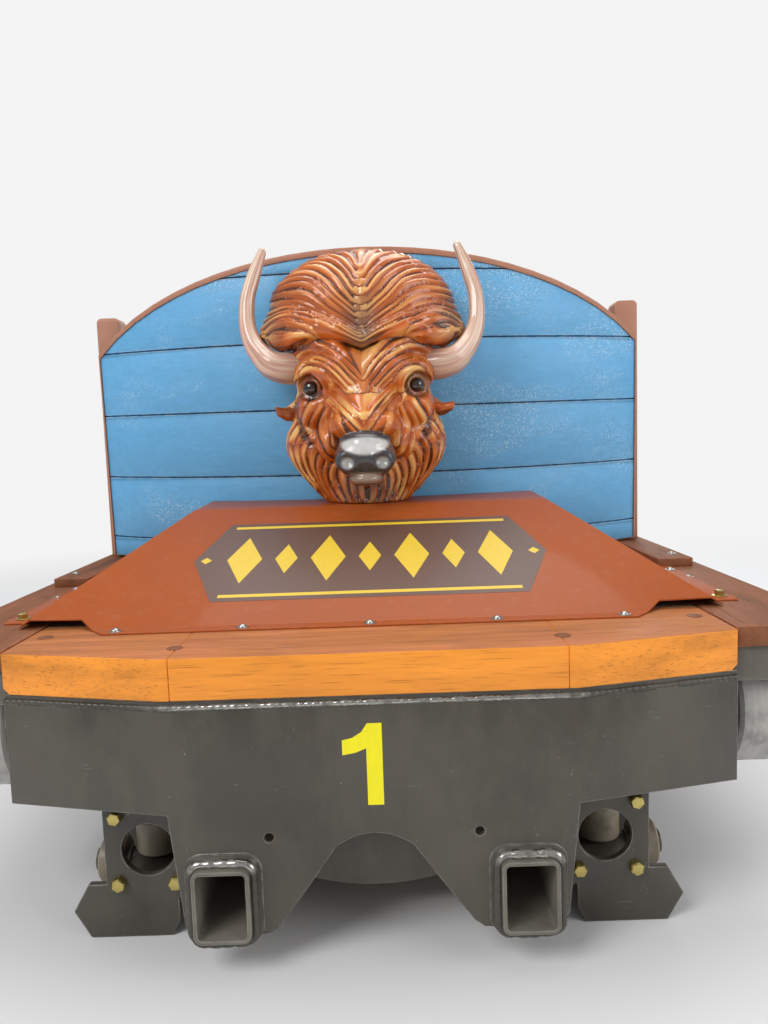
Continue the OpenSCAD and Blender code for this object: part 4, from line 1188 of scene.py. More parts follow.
def head_field(x, y, z):
    """The whole head's distance, cut to the board behind and the cover's deck below."""
    crown, face, muzzle, beard, ear = head_masses(x, y, z)
    p = (np.abs(x), y, z)
    lid = [a - b for a, b in zip(p, (EYE[0], EYE[1] - 7, EYE[2]))]
    across = np.sqrt((lid[0] * 0.92 + lid[1] * 0.4) ** 2 + (lid[2] * 1.12) ** 2)
    through = lid[1] * 0.92 - lid[0] * 0.4
    lids = np.sqrt((across - 19) ** 2 + through ** 2) - 5
    face = carve(face, ellipsoid(p, (EYE[0] + 1, EYE[1] - 20, EYE[2] + 1), (27, 32, 24)), 12)
    face = merge(face, lids, 6)
    head = face
    for part, blend in ((muzzle, 7), (beard, 7), (ear, 8), (crown, 5)):
        head = merge(head, part, blend)
    for place, radii in ((NOSTRIL, (17, 19, 16)), ((9, 417, 476), (8, 8, 5))):
        head = carve(head, ellipsoid(p, place, radii), 7)
    head = carve(head, limb(p, *SMILE, blend=4), 5)
    return np.maximum(np.maximum(head, board_gap(x, y, z)), COVER_DECK - z)


def board_gap(x, y, z):
    """Distance to the curved board behind the head, positive inside the board."""
    leaned_y = BOARD_Y + (y - BOARD_Y) * math.cos(BOARD_LEAN) + (z - BOARD_FOOT) * math.sin(BOARD_LEAN)
    return BOARD_R + 1 - np.sqrt((x + HEAD_SHIFT) ** 2 + (leaned_y - BOARD_Y - BOARD_R) ** 2)


def nets(field, origin, step):
    """The zero surface of a grid as one vertex a crossed cell, with quads round the crossed edges."""
    below = field < 0
    cells = tuple(n - 1 for n in field.shape)
    corners = [(i, j, k) for i in (0, 1) for j in (0, 1) for k in (0, 1)]
    hits = sum(below[i:i + cells[0], j:j + cells[1], k:k + cells[2]].astype(np.int8) for i, j, k in corners)
    where = np.argwhere((hits > 0) & (hits < 8))
    total = np.zeros((len(where), 3))
    count = np.zeros(len(where))
    for a in corners:
        for axis in range(3):
            if a[axis]:
                continue
            b = list(a)
            b[axis] = 1
            fa = field[tuple((where + a).T)]
            fb = field[tuple((where + b).T)]
            cross = (fa < 0) != (fb < 0)
            share = np.where(cross, fa / np.where(fa == fb, 1, fa - fb), 0)
            point = np.array(a, float) + np.eye(3)[axis] * share[:, None]
            total += point * cross[:, None]
            count += cross
    verts = origin + (where + total / count[:, None]) * step
    index = np.full(cells, -1, np.int32)
    index[tuple(where.T)] = np.arange(len(where))
    quads = []
    for axis in range(3):
        u, v = (axis + 1) % 3, (axis + 2) % 3
        size = field.shape
        first = [slice(None)] * 3
        second = [slice(None)] * 3
        first[axis], second[axis] = slice(0, size[axis] - 1), slice(1, size[axis])
        for s in (u, v):
            first[s] = second[s] = slice(1, size[s] - 1)
        fa, fb = below[tuple(first)], below[tuple(second)]
        edge = np.argwhere(fa != fb)
        flip = fb[tuple(edge.T)]
        edge[:, u] += 1
        edge[:, v] += 1
        du, dv = np.eye(3, dtype=int)[u], np.eye(3, dtype=int)[v]
        ring = [index[tuple((edge - o).T)] for o in (du * 0, du, du + dv, dv)]
        quad = np.stack(ring, 1)
        quad[flip] = quad[flip][:, ::-1]
        quads.append(quad)
    return verts, np.concatenate(quads)


def vertex_normals(verts, quads):
    """The mean normal of the quads round each vertex."""
    cross = np.cross(verts[quads[:, 2]] - verts[quads[:, 0]], verts[quads[:, 3]] - verts[quads[:, 1]])
    total = np.zeros_like(verts)
    for k in range(4):
        np.add.at(total, quads[:, k], cross)
    return total / np.maximum(np.linalg.norm(total, axis=1), 1e-12)[:, None]


def wander(seed, scale, *coordinates):
    """A smooth random number from -1 to 1 over any coordinates."""
    rng = np.random.default_rng(seed)
    made = 0
    for _ in range(7):
        turn = rng.normal(0, 1, len(coordinates)) / scale
        made = made + np.sin(sum(c * t for c, t in zip(coordinates, turn)) + rng.uniform(0, 2 * math.pi))
    return made / 4


def hashed(index, seed):
    """A number from 0 to 1 for each index, as if drawn at random."""
    return np.modf(np.abs(np.sin(index * 12.9898 + seed * 78.233) * 43758.5453))[0]


def smooth_between(low, high, value):
    """0 at low and 1 at high, smooth between; low may be the greater of the two."""
    t = np.clip((value - low) / (high - low), 0, 1)
    return t * t * (3 - 2 * t)


# Lines of hair on the head's right half, from root to tip: rank across the hair, then x, z pairs in mm
HAIR = {
    "crown": (
        (-2, 109, 730, 131, 720, 154, 716, 177, 722, 190, 739),
        (-1, 107, 742, 127, 751, 154, 757, 180, 754, 200, 743),
        (0, 2, 720, 29, 731, 57, 744, 85, 754, 108, 762, 131, 776, 155, 779, 181, 772, 200, 757),
        (1, 4, 727, 29, 740, 57, 750, 85, 765, 114, 778, 143, 787, 170, 785, 195, 774),
        (2, 6, 733, 30, 748, 52, 761, 75, 772, 103, 785, 132, 792, 162, 795, 186, 789),
        (3, 8, 739, 30, 754, 54, 768, 80, 779, 103, 793, 126, 803, 156, 808, 186, 805),
        (4, 9, 746, 26, 760, 48, 774, 72, 786, 92, 801, 114, 814, 140, 820, 172, 824, 196, 820),
        (5, 9, 754, 22, 768, 40, 782, 56, 794, 72, 810, 90, 826, 114, 836, 141, 838, 176, 836),
        (6, 11, 765, 24, 779, 40, 794, 54, 806, 68, 822, 86, 841, 112, 850, 141, 852, 172, 849),
        (7, 12, 778, 28, 794, 45, 810, 60, 827, 77, 845, 98, 858, 124, 864, 155, 865),
        (8, 14, 792, 28, 805, 43, 821, 54, 839, 69, 854, 90, 868, 113, 873, 140, 872),
        (9, 13, 808, 24, 822, 35, 836, 47, 850, 61, 863, 79, 877, 102, 885, 126, 885),
        (10, 13, 828, 21, 842, 33, 857, 47, 869, 62, 880, 79, 888, 100, 894),
        (11, 9, 845, 16, 857, 28, 872, 42, 886, 57, 894, 71, 895),
        (12, 6, 860, 11, 873, 20, 890, 31, 901, 46, 907),
        (13, 4, 876, 6, 890, 11, 906, 20, 914)),
    "brow": (
        (0.2, 72, 636, 79, 654, 96, 664, 113, 662, 125, 646),
        (1.2, 30, 630, 50, 649, 66, 664, 80, 675, 97, 682, 117, 680, 130, 666, 138, 645),
        (2.2, 24, 637, 40, 655, 57, 670, 74, 683, 94, 691),
        (3, 11, 643, 28, 659, 44, 677, 64, 690, 84, 700, 110, 706, 129, 691, 135, 666),
        (4, 5, 647, 22, 668, 42, 690, 65, 704, 92, 718, 120, 716, 140, 704, 138, 673),
        (5, 2, 653, 12, 672, 29, 694, 52, 718, 82, 732, 111, 732, 131, 723)),
    "cheek": (
        (0, 53, 633, 36, 617, 19, 601, 10, 589),
        (1, 62, 636, 42, 614, 26, 595, 12, 576, 2, 557),
        (2.2, 68, 608, 51, 589, 34, 569, 21, 553, 8, 544),
        (3.4, 61, 589, 66, 562, 66, 543, 64, 523),
        (4.4, 71, 598, 80, 575, 87, 552, 76, 533, 72, 510),
        (5.4, 84, 601, 97, 578, 106, 552, 100, 528, 85, 502),
        (6.4, 101, 604, 114, 581, 121, 558, 117, 534, 103, 512),
        (7.2, 118, 613, 128, 590, 131, 568, 128, 551)),
    "beard": (
        (0, 137, 571, 150, 557, 162, 540, 164, 519, 153, 492, 139, 468),
        (1, 132, 554, 144, 534, 148, 513, 143, 485, 128, 461, 113, 444),
        (2, 120, 541, 130, 517, 130, 493, 121, 465, 105, 439, 91, 419),
        (3, 110, 521, 118, 501, 117, 476, 106, 449, 91, 427, 80, 409),
        (4, 96, 502, 104, 481, 100, 457, 87, 430, 76, 410),
        (5, 82, 489, 88, 468, 84, 444, 73, 421, 66, 407),
        (6, 68, 482, 74, 459, 70, 436, 59, 412),
        (7, 54, 473, 57, 454, 53, 434, 45, 410),
        (8, 40, 458, 40, 435, 34, 412),
        (9, 23, 443, 23, 426, 19, 411),
        (10, 4, 437, 2, 412)),
}

# Beard lines at the head's side, which the front view hides: rank, then x, y, z
HAIR_BEHIND = ((-1.2, 158, 592, 566, 167, 600, 522, 152, 600, 470, 122, 598, 425, 100, 598, 400),
               (-2.4, 162, 626, 572, 169, 632, 516, 152, 632, 460, 118, 630, 400),
               (-3.6, 160, 660, 576, 167, 664, 516, 148, 664, 450, 112, 662, 400))


def front_of(x, z):
    """The head's foremost y over each x and z, in mm."""
    depth = np.arange(400.0, 712.0, 2.0)
    field = head_field(x[:, None], depth[None], z[:, None])
    inside = field < 0
    k = np.where(inside.any(1), inside.argmax(1), np.abs(field).argmin(1)).clip(1)
    rows = np.arange(len(x))
    a, b = field[rows, k - 1], field[rows, k]
    return depth[k - 1] + 2 * np.clip(a / np.where(a == b, 1, a - b), 0, 1)


def settled(p):
    """A point brought onto the head's surface, and the surface's normal there."""
    for _ in range(4):
        value = head_field(*p)
        normal = np.array([head_field(*(p + e)) - head_field(*(p - e)) for e in np.eye(3)])
        normal /= max(np.linalg.norm(normal), 1e-9)
        p = p - normal * value
    return p, normal


def hair_line(pairs, onward):
    """A line of hair on the head; onward carries it back to the board."""
    flat = curve_through(np.reshape(pairs, (-1, 2)), 3)
    line = np.stack([flat[:, 0], front_of(flat[:, 0], flat[:, 1]), flat[:, 1]], 1)
    if onward:
        p, ahead = line[-1], line[-1] - line[-3]
        for _ in range(16):
            p, normal = settled(p)
            ahead = ahead / np.linalg.norm(ahead) * 0.7 + np.array([0, 0.3, 0])
            ahead -= normal * (ahead @ normal)
            p = p + ahead / np.linalg.norm(ahead) * 9
            if board_gap(*p) > -4:
                break
            line = np.vstack([line, p])
    return line


def rank_by_lines(p, lines):
    """Each point's rank between its two nearest lines, how far the nearest is, and the width of one rank."""
    first, second = np.full(len(p), 1e3), np.full(len(p), 2e3)
    rank, other = np.zeros(len(p)), np.zeros(len(p))
    for number, line in lines:
        a, e = line[:-1], np.diff(line, axis=0)
        gap = p[:, None] - a[None]
        t = np.clip((gap * e).sum(2) / (e * e).sum(1), 0, 1)
        far = np.sqrt(((gap - t[..., None] * e) ** 2).sum(2).min(1))
        wins = far < first
        next_one = ~wins & (far < second)
        other = np.where(wins, rank, np.where(next_one, number, other))
        second = np.where(wins, first, np.where(next_one, far, second))
        rank = np.where(wins, number, rank)
        first = np.where(wins, far, first)
    width = (first + second) / np.maximum(np.abs(rank - other), 0.2)
    return (rank * second + other * first) / np.maximum(first + second, 1e-6), first, width


# Figures of the hair on the crown, the beard, the brow and the cheek
LOCK_DEPTH = (7.0, 8.0, 5.6, 5.0)
LOCK_LENGTH = (190.0, 104.0, 110.0, 110.0)
TIP_DIP = (0.5, 0.8, 0.5, 0.5)
ROOT_SHADE = (0.3, 0.45, 0.25, 0.25)
CREST_CREAM_AND_HIGHLIGHT = (0.62, 1.15, 1.25, 1.15)
LOCK_TONE = (0.54, 0.62, 0.60, 0.70)


def hair_ranks(p, crowned, bearded, open_face):
    """Each point's rank, the width of a rank there, and how far the brow's and the cheek's lines are."""
    lines = {group: [(row[0], hair_line(row[1:], group == "crown")) for row in rows]
             for group, rows in HAIR.items()}
    lines["beard"] += [(row[0], curve_through(np.reshape(row[1:], (-1, 3)), 4)) for row in HAIR_BEHIND]
    rank, width, away = np.zeros(len(p)), np.zeros(len(p)), np.full((2, len(p)), 99.0)
    rank[crowned], _, width[crowned] = rank_by_lines(p[crowned], lines["crown"])
    rank[bearded], _, width[bearded] = rank_by_lines(p[bearded], lines["beard"])
    both = [rank_by_lines(p[open_face], lines[name]) for name in ("brow", "cheek")]
    rank[open_face] = np.where(both[0][1] < both[1][1], both[0][0], both[1][0])
    width[open_face] = np.where(both[0][1] < both[1][1], both[0][2], both[1][2])
    away[:, open_face] = [b[1] for b in both]
    return rank, width, away


def hair(x, y, z, masses):
    """Height of the carving in mm and the numbers that colour it, at each point of the head."""
    crown, face, muzzle, beard, ear = masses
    ax, side = np.abs(x), np.sign(x)
    p = np.stack([ax, y, z], 1)
    others = np.minimum(np.minimum(face, muzzle), np.minimum(beard, ear))
    crowned = crown < others
    bearded = ~crowned & (beard < np.minimum(face, ear))
    open_face = ~crowned & ~bearded
    rank, width, away = hair_ranks(p, crowned, bearded, open_face)
    brow = open_face & (away[0] < away[1])

    def by_place(figures):
        return np.select([crowned, bearded, brow], figures[:3], figures[3])

    parting = np.abs(away[0] - away[1])
    along = np.select([crowned, brow, open_face], [ax + 0.7 * np.maximum(y - 560, 0), ax, 700 - z], 700 - z)
    seeded = side * 50
    rank = rank + 0.34 * wander(11, 1.0, rank * 0.9, along / 46, seeded) * smooth_between(0, 30, ax)
    groove = np.round(rank)
    off = np.abs(rank - groove)
    cut = 0.28 + 0.72 * smooth_between(-0.7, 0.3, wander(12, 1.0, groove * 3.1, along / 34, seeded))
    cut = cut * smooth_between(5, 11, width)
    ridge = 1 - cut * (1 - np.sin(np.pi * off) ** 0.75)
    size = 0.86 + 0.24 * wander(14, 1.0, np.floor(rank) * 2.7, along / 60, seeded) * np.sin(np.pi * off)
    tuft = hashed(np.floor(rank) + 40 + side, 3)
    lap = np.modf(along / by_place(LOCK_LENGTH) + tuft * 3.7)[0]
    tip = smooth_between(0.66, 1.0, lap) * by_place(TIP_DIP)
    ridge = np.clip(ridge - tip * (1 - np.sin(np.pi * off) ** 2) * 1.2, 0, 1)
    size = size * (0.86 + 0.18 * lap)
    strand = np.abs(np.sin(np.pi * (rank * 2.4 + 0.3 * wander(15, 1.0, rank, along / 30, seeded))))
    round_eye = np.sqrt((ax - EYE[0]) ** 2 + (y - EYE[1] + 10) ** 2 + (z - EYE[2]) ** 2)
    on_muzzle = smooth_between(3, -3, muzzle - np.minimum(np.minimum(face, beard), crown))
    calm = smooth_between(22, 40, round_eye) * (1 - on_muzzle)
    height = by_place(LOCK_DEPTH) * (size * ridge + 0.10 * strand - 0.55) * calm
    brush = 0.5 + 0.5 * wander(17, 1.0, rank * 1.7, along / 26, seeded)
    # The cream mark is shown on the upper side of each crest, as cream paint and painted highlight.
    cream = np.clip(0.05 + 0.75 * tuft + 0.75 * (brush - 0.4), 0, 1) * smooth_between(0.0, 0.3, lap)
    cream = cream * smooth_between(1.02, 0.82, lap) * by_place(CREST_CREAM_AND_HIGHLIGHT)
    # Painted shade: the crown's middle above the parting and its outer sides are darkened through the grey mark.
    middle = smooth_between(50, 6, ax) * crowned * smooth_between(870, 760, z)
    outer = smooth_between(140, 196, ax) * crowned
    grey = np.clip(middle * 0.8 + outer * 0.8, 0, 1)
    under_rim = smooth_between(12, 2, crown) * ~crowned * smooth_between(60, 120, ax)
    chin = smooth_between(78, 34, ax) * smooth_between(482, 444, z) * bearded * 0.7
    seam = smooth_between(7, 0, np.abs(muzzle - np.minimum(face, beard))) * 0.6
    smile = smooth_between(6, 1, limb(p.T, *SMILE)) * ~crowned
    rim_line = smooth_between(4, 0, np.abs(crown - others)) * 0.5
    knot = smooth_between(3.5, 0, parting) * open_face * smooth_between(80, 50, ax) * 0.7
    pocket = smooth_between(38, 26, round_eye)
    root = smooth_between(0.16, 0.0, lap) * by_place(ROOT_SHADE) * (1 - on_muzzle)
    shadow = np.clip(under_rim + chin + seam + smile + rim_line + knot + root + pocket * 0.85, 0, 1)
    tone = by_place(LOCK_TONE) + 0.34 * (tuft - 0.5) + 0.24 * (brush - 0.5)
    # Painted highlight: the silver mark lightens the top of the muzzle and the lower halves of the nostril bowls.
    bowl = np.sqrt((ax - NOSTRIL[0]) ** 2 + (z - NOSTRIL[2] + 4) ** 2)
    silver = smooth_between(0, 7, z - 501 - 14 * (ax / 44) ** 2)
    silver = silver * smooth_between(541, 534, z + 0.004 * ax * ax)
    silver = silver * smooth_between(52, 40, ax) + 0.55 * smooth_between(15, 8, bowl)
    lip = smooth_between(474, 466, z) * smooth_between(34, 26, ax) * smooth_between(446, 452, z)
    return height - knot * 2.5, {
        "flow": rank + 20, "cut": cut, "along": along * MM, "cream": np.clip(cream, 0, 1),
        "grey": grey, "shadow": shadow, "tone": np.clip(tone, 0, 1), "muzzle": on_muzzle,
        "silver": np.clip(silver, 0, 1) * on_muzzle, "lip": lip * on_muzzle}


class CAR_OT_carving(bpy.types.Operator):
    """Carve the bison's head, with its horns and eyes"""

    bl_idname = "car.carving"
    bl_label = "Carved head"

    def execute(self, context):
        self.head(sizes())
        self.horns()
        self.eyes()
        return {"FINISHED"}

    def head(self, s):
        step = s.head_step / MM
        half = [np.arange(low, high, step) for low, high in HEAD_ROOM]
        grid = np.meshgrid(*[a.astype(np.float32) for a in half], indexing="ij", sparse=True)
        right = head_field(*grid)
        field = np.concatenate([right[:0:-1], right])
        origin = np.array([-half[0][-1], half[1][0], half[2][0]])
        verts, quads = nets(field, origin, step)
        hidden = (board_gap(*verts.T) > -0.6) | (verts[:, 2] < COVER_DECK + 0.3)
        quads = quads[~hidden[quads].all(1)]
        used, quads = np.unique(quads, return_inverse=True)
        verts, quads = verts[used], quads.reshape(-1, 4)
        normals = vertex_normals(verts, quads)
        x, y, z = verts.T
        height, marks = hair(x, y, z, head_masses(x, y, z))
        edge = smooth_between(0, 10, z - COVER_DECK) * smooth_between(0, 8, -board_gap(x, y, z))
        moved = verts + normals * (height * edge * s.lock_height)[:, None]
        moved[:, 2] = np.maximum(moved[:, 2], COVER_DECK)
        shape = Shape()
        shape.add(moved * MM + np.array(at(HEAD_SHIFT, 0, 0)), quads, **marks)
        add_piece(shape.mesh("carved_head", 180), carved_hair(), stands_for=["bison_head"])

    def horns(self):
        shape = Shape()
        for side in SIDES.values():
            line = curve_through(HORN, 14)
            tip = line[-1]
            ahead = (line[-1] - line[-2])[:3]
            ahead /= np.linalg.norm(ahead)
            caps = [np.append(tip[:3] + ahead * tip[3] * math.sin(a), tip[3] * math.cos(a))
                    for a in np.radians([25, 50, 70, 84])]
            line = np.vstack([line, caps])
            path, radii = line[:, :3], line[:, 3]
            run = np.concatenate([[0], np.cumsum(np.linalg.norm(np.diff(path, axis=0), axis=1))])
            sides = 40
            turn = np.arange(sides) / sides
            angles = turn * 2 * math.pi
            rows = []
            w = np.gradient(path, axis=0)
            w /= np.linalg.norm(w, axis=1)[:, None]
            up = np.array([0.0, -1.0, 0.2])
            for p, d, r, reach in zip(path, w, radii, run):
                u = up - d * (up @ d)
                u /= np.linalg.norm(u)
                v = np.cross(d, u)
                flute = 1 + 0.030 * np.sin(angles * 7 + 1.3)
                flute = flute + 0.018 * np.sin(angles * 12 + reach / 40)
                flute = flute + 0.020 * np.sin(reach / 7.5) * np.exp(-reach / 60)
                rows.append(p + r * flute[:, None] * spokes(angles, u, v))
            rows = np.array(rows)
            rows[..., 0] *= side
            if side < 0:
                rows = rows[:, ::-1]
            placed = rows * MM + np.array(at(HEAD_SHIFT, 0, 0))
            around = np.tile(turn * 4, len(rows))
            shape.rings(placed, around=around + side, along=np.repeat(run * MM, sides))
        add_piece(shape.mesh("carved_horns", 60), painted_horn())

    def eyes(self):
        shape = Shape()
        for side in SIDES.values():
            centre = np.array(at(HEAD_SHIFT + side * EYE[0], EYE[1], EYE[2]))
            look = np.array([side * 0.42, -0.9, 0.05])
            look /= np.linalg.norm(look)
            u, v, w = (np.array(a) for a in axes_to(look))
            sides = 36
            around = spokes(angles_round(sides), u, v)
            rows, ring = [], []
            for a in np.radians(np.linspace(3, 110, 24)):
                rows.append(centre + EYE_R * MM * (math.cos(a) * w + math.sin(a) * around))
                ring += [math.degrees(a) / 70] * sides
            shape.rings(np.array(rows)[::-1], ring=np.array(ring)[::-1])
        add_piece(shape.mesh("carved_eyes", 60), glossy_eye())


# Seats and lap bars

SEAM_POINTS = 160
FOAM_SHRINK, FOAM_SWELL, FOAM_ROUND = 0.009, 0.016, 0.016
CHANNEL_DEPTH, CHANNEL_WIDTH = 0.006, 0.007
CLOTH_FRAMES = 14
SEAT_Y, SEAT_D, SEAT_TOP = 1480, 480, TIMBER_TOP + 250
BACKREST_T, BACKREST_INSET, BACKREST_LEAN = 95, 30, math.radians(10)
BACKREST_SIZE = (0.540, BACKREST_T * MM, 0.440)
BACKREST_CORNER = at(20, SEAT_Y + SEAT_D - BACKREST_T - BACKREST_INSET,
                     SEAT_TOP + BACKREST_T * math.sin(BACKREST_LEAN) + 0.3)


def stuffed_block(name, low, high, voxel):
    """A block of foam in a cover: remeshed, blown up by a cloth run, and held to its space."""
    a = [c + FOAM_SHRINK for c in low]
    b = [c - FOAM_SHRINK for c in high]
    bm = bmesh.new()
    bmesh.ops.create_cube(bm, size=1.0)
    middle = (Vector(a) + Vector(b)) / 2
    bmesh.ops.scale(bm, vec=[q - p for p, q in zip(a, b)], verts=bm.verts)
    bmesh.ops.bevel(bm, geom=bm.edges[:], offset=FOAM_ROUND, segments=3, affect="EDGES", profile=0.5)
    mesh = bpy.data.meshes.new(name)
    bm.to_mesh(mesh)
    bm.free()
    block = bpy.data.objects.new(name, mesh)
    bpy.context.scene.collection.objects.link(block)
    bpy.context.view_layer.objects.active = block
    remesh = block.modifiers.new("remesh", "REMESH")
    remesh.mode = "VOXEL"
    remesh.voxel_size = voxel
    start = evaluated(block)
    block.modifiers.clear()
    block.data = start
    rest = coordinates(start)
    cloth = block.modifiers.new("cloth", "CLOTH")
    cloth.settings.use_pressure = True
    cloth.settings.uniform_pressure_force = 4.0
    cloth.settings.effector_weights.gravity = 0.0
    cloth.settings.quality = 4
    scene = bpy.context.scene
    for number in range(1, CLOTH_FRAMES + 1):
        scene.frame_set(number)
    blown = evaluated(block)
    block.modifiers.clear()
    moved = coordinates(blown) - rest
    scene.frame_set(1)
    length = np.linalg.norm(moved, axis=1)
    moved *= np.minimum(1, FOAM_SWELL / np.maximum(length, 1e-9))[:, None]
    move_vertices(block.data, rest + moved + np.array(middle))
    return block


def evaluated(thing):
    """A new mesh of the thing with its modifiers applied."""
    graph = bpy.context.evaluated_depsgraph_get()
    return bpy.data.meshes.new_from_object(thing.evaluated_get(graph))


def move_vertices(mesh, co):
    mesh.vertices.foreach_set("co", co.astype(np.float32).ravel())
    mesh.update()


def coordinates(mesh):
    co = np.zeros(len(mesh.vertices) * 3, np.float32)
    mesh.vertices.foreach_get("co", co)
    return co.reshape(-1, 3).astype(float)


def vertex_directions(mesh):
    n = np.zeros(len(mesh.vertices) * 3, np.float32)
    mesh.vertex_normals.foreach_get("vector", n)
    return n.reshape(-1, 3).astype(float)


def press_channels(block, across, lines, depth, width, outward):
    """Sewn channels: the cover's outward face is drawn in along straight lines across a cushion."""
    co = coordinates(block.data)
    normals = vertex_directions(block.data)
    out = smooth_between(0.2, 0.75, normals @ np.array(outward))
    for line in lines:
        pull = np.exp(-((co[:, across] - line) / width) ** 2) * out * depth
        co -= normals * pull[:, None]
    move_vertices(block.data, co)


def piping_round(shape, block, centre, u, v, radius):
    """Piping round a cushion where a plane through its centre cuts the cover."""
    mesh = block.data
    tree = BVHTree.FromPolygons([v.co for v in mesh.vertices], [p.vertices for p in mesh.polygons])
    path = []
    for k in range(SEAM_POINTS):
        a = 2 * math.pi * k / SEAM_POINTS
        away = (Vector(u) * math.cos(a) + Vector(v) * math.sin(a)).normalized()
        hit = tree.ray_cast(Vector(centre) + away * 0.8, -away)[0]
        if hit:
            path.append(np.array(hit))
    path = np.array(path)
    for _ in range(2):
        path = (np.roll(path, 1, 0) + 2 * path + np.roll(path, -1, 0)) / 4
    shape.sweep(path, radius, 10, True)


class CAR_OT_seats(bpy.types.Operator):
    """Upholster the two seats and finish their plywood"""

    bl_idname = "car.seats"
    bl_label = "Seats"

    def execute(self, context):
        s = sizes()
        softened("seat_base", s.plate_round, seat_ply())
        softened("seat_back_frame", s.plate_round, seat_ply())
        self.cushions(s)
        self.backrests(s)
        return {"FINISHED"}

    def finish_pad(self, block, name, node, piping):
        """Cover, crown and name a stuffed block, which stands for its node, and add its piping."""
        mesh = block.data
        mesh.materials.clear()
        block.name = name
        mesh.name = name
        mesh.materials.append(grained_vinyl())
        smooth = block.modifiers.new("subdivision", "SUBSURF")
        smooth.levels = smooth.render_levels = 1
        settle(mesh, 180)
        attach(block, CAR)
        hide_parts(node)
        add_piece(piping.mesh(name + "_piping", 80), piping_vinyl())

    def cushions(self, s):
        low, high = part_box("seat_cushions")
        pin = next(Vector(j["pos_m"]) for j in frame["joints"] if j["name"] == "lap_bar_right_lift")
        gap = 2 * pin.x - high.x
        width = high.x - gap
        for side, sg in SIDES.items():
            x0 = gap if sg > 0 else -high.x
            corner = (x0 + width, high.y, high.z)
            block = stuffed_block("cushion", (x0, low.y, low.z), corner, s.cushion_voxel)
            middle = x0 + width / 2
            lines = [middle - width * 0.22, middle + width * 0.22]
            press_channels(block, 0, lines, CHANNEL_DEPTH, CHANNEL_WIDTH, (0, 0, 1))
            self.keep_above(block, low.z)
            piping = Shape()
            centre = Vector((middle, (low.y + high.y) / 2, high.z - FOAM_ROUND))
            piping_round(piping, block, centre, (1, 0, 0), (0, 1, 0), s.piping_radius)
            self.finish_pad(block, f"seat_cushion_{side}", "seat_cushions", piping)

    def keep_above(self, block, floor):
        """Nothing of the cover dips under the board that the cushion lies on."""
        co = coordinates(block.data)
        co[:, 2] = np.maximum(co[:, 2], floor + 0.0004)
        move_vertices(block.data, co)

    def backrests(self, s):
        """Each backrest is stuffed upright and then leaned back with its solid."""
        corner = BACKREST_CORNER
        width, thick, high = BACKREST_SIZE
        lean = Matrix.Rotation(-BACKREST_LEAN, 3, "X")
        for side, sg in SIDES.items():
            block = stuffed_block("backrest", (0, 0, 0), (width, thick, high), s.cushion_voxel)
            press_channels(block, 2, [high * 0.34, high * 0.64], CHANNEL_DEPTH, CHANNEL_WIDTH, (0, -1, 0))
            piping = Shape()
            centre = (width / 2, FOAM_ROUND, high / 2)
            piping_round(piping, block, centre, (1, 0, 0), (0, 0, 1), s.piping_radius)
            shift = Vector((corner.x if sg > 0 else -corner.x - width, corner.y, corner.z))
            place = lean.to_4x4()
            place.translation = shift
            block.data.transform(place)
            co = np.concatenate(piping.verts)
            piping.verts = [co @ np.array(lean).T + np.array(shift)]
            self.finish_pad(block, f"backrest_{side}", "backrests", piping)


class CAR_OT_lap_bars(bpy.types.Operator):
    """Finish the lap bars and wrap their pads"""

    bl_idname = "car.lap_bars"
    bl_label = "Lap bars"

    def execute(self, context):
        s = sizes()
        for side in SIDES:
            body = f"lap_bar_{side}"
            thing = frame["nodes"][body]
            thing.data.materials.clear()
            thing.data.materials.append(machined_steel())
            self.pad(side, body, s)
        return {"FINISHED"}

    def pad(self, side, body, s):
        """Two foam sleeves of one pad, crowned, drawn in at their ends and sewn underneath."""
        low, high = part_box(f"lap_pad_{side}")
        middle = (low + high) / 2
        radius = (high.z - low.z) / 2
        arm_gap = 0.022
        half = (high.x - low.x) / 2
        shape, thread = Shape(), Shape()
        sides, loop_sides = 40, 48
        a = angles_round(sides)
        dip = 1 - 0.05 * np.exp(-((a - 1.5 * math.pi) / 0.12) ** 2)
        for end in (-1, 1):
            t = np.linspace(0, 1, 36)
            runs = arm_gap + (half - arm_gap) * t
            swell = np.power(np.clip(1 - np.abs(2 * t - 1) ** 7, 0, 1), 0.5)
            rows = []
            for run, share in zip(runs, swell):
                r = radius * (0.62 + 0.36 * share) * (1 + 0.012 * math.sin(run * 90))
                ring = np.stack([np.full(sides, end * run), r * dip * np.cos(a), r * dip * np.sin(a)], 1)
                rows.append(np.array(middle) + (ring if end > 0 else ring[::-1]))
            shape.rings(rows)
            for t_end in (0.05, 0.95):
                x = arm_gap + (half - arm_gap) * t_end
                b = angles_round(loop_sides)
                r = radius * 0.90
                loop = np.stack([np.full(loop_sides, end * x), r * np.cos(b), r * np.sin(b)], 1)
                thread.sweep(loop + np.array(middle), s.piping_radius * 0.7, 8, True)
        cover = shape.mesh(f"lap_pad_cover_{side}", 70)
        pad = add_piece(cover, grained_vinyl(), body, [f"lap_pad_{side}"])
        add_piece(thread.mesh(f"lap_pad_piping_{side}", 80), piping_vinyl(), body)


# Stage

CAMERA_AT = at(31.2, -1015, 535)
CAMERA_YAW, CAMERA_PITCH, CAMERA_ROLL = (math.radians(a) for a in (-0.16, 5.51, 1.96))
FOCAL_PIXELS, PICTURE_H = 769.0, 1024

# Each lamp's name, place, target, width in m and power in W
LAMPS = (("key", (-2.3, -3.4, 3.4), (0, -0.5, 0.6), 2.2, 105),
         ("fill", (3.2, -2.6, 1.9), (0, -0.2, 0.6), 2.4, 46),
         ("overhead", (0.2, 0.4, 4.2), (0, 0.1, 0.5), 3.4, 92),
         ("back", (1.4, 4.2, 2.6), (0, 0.6, 0.6), 2.4, 60))


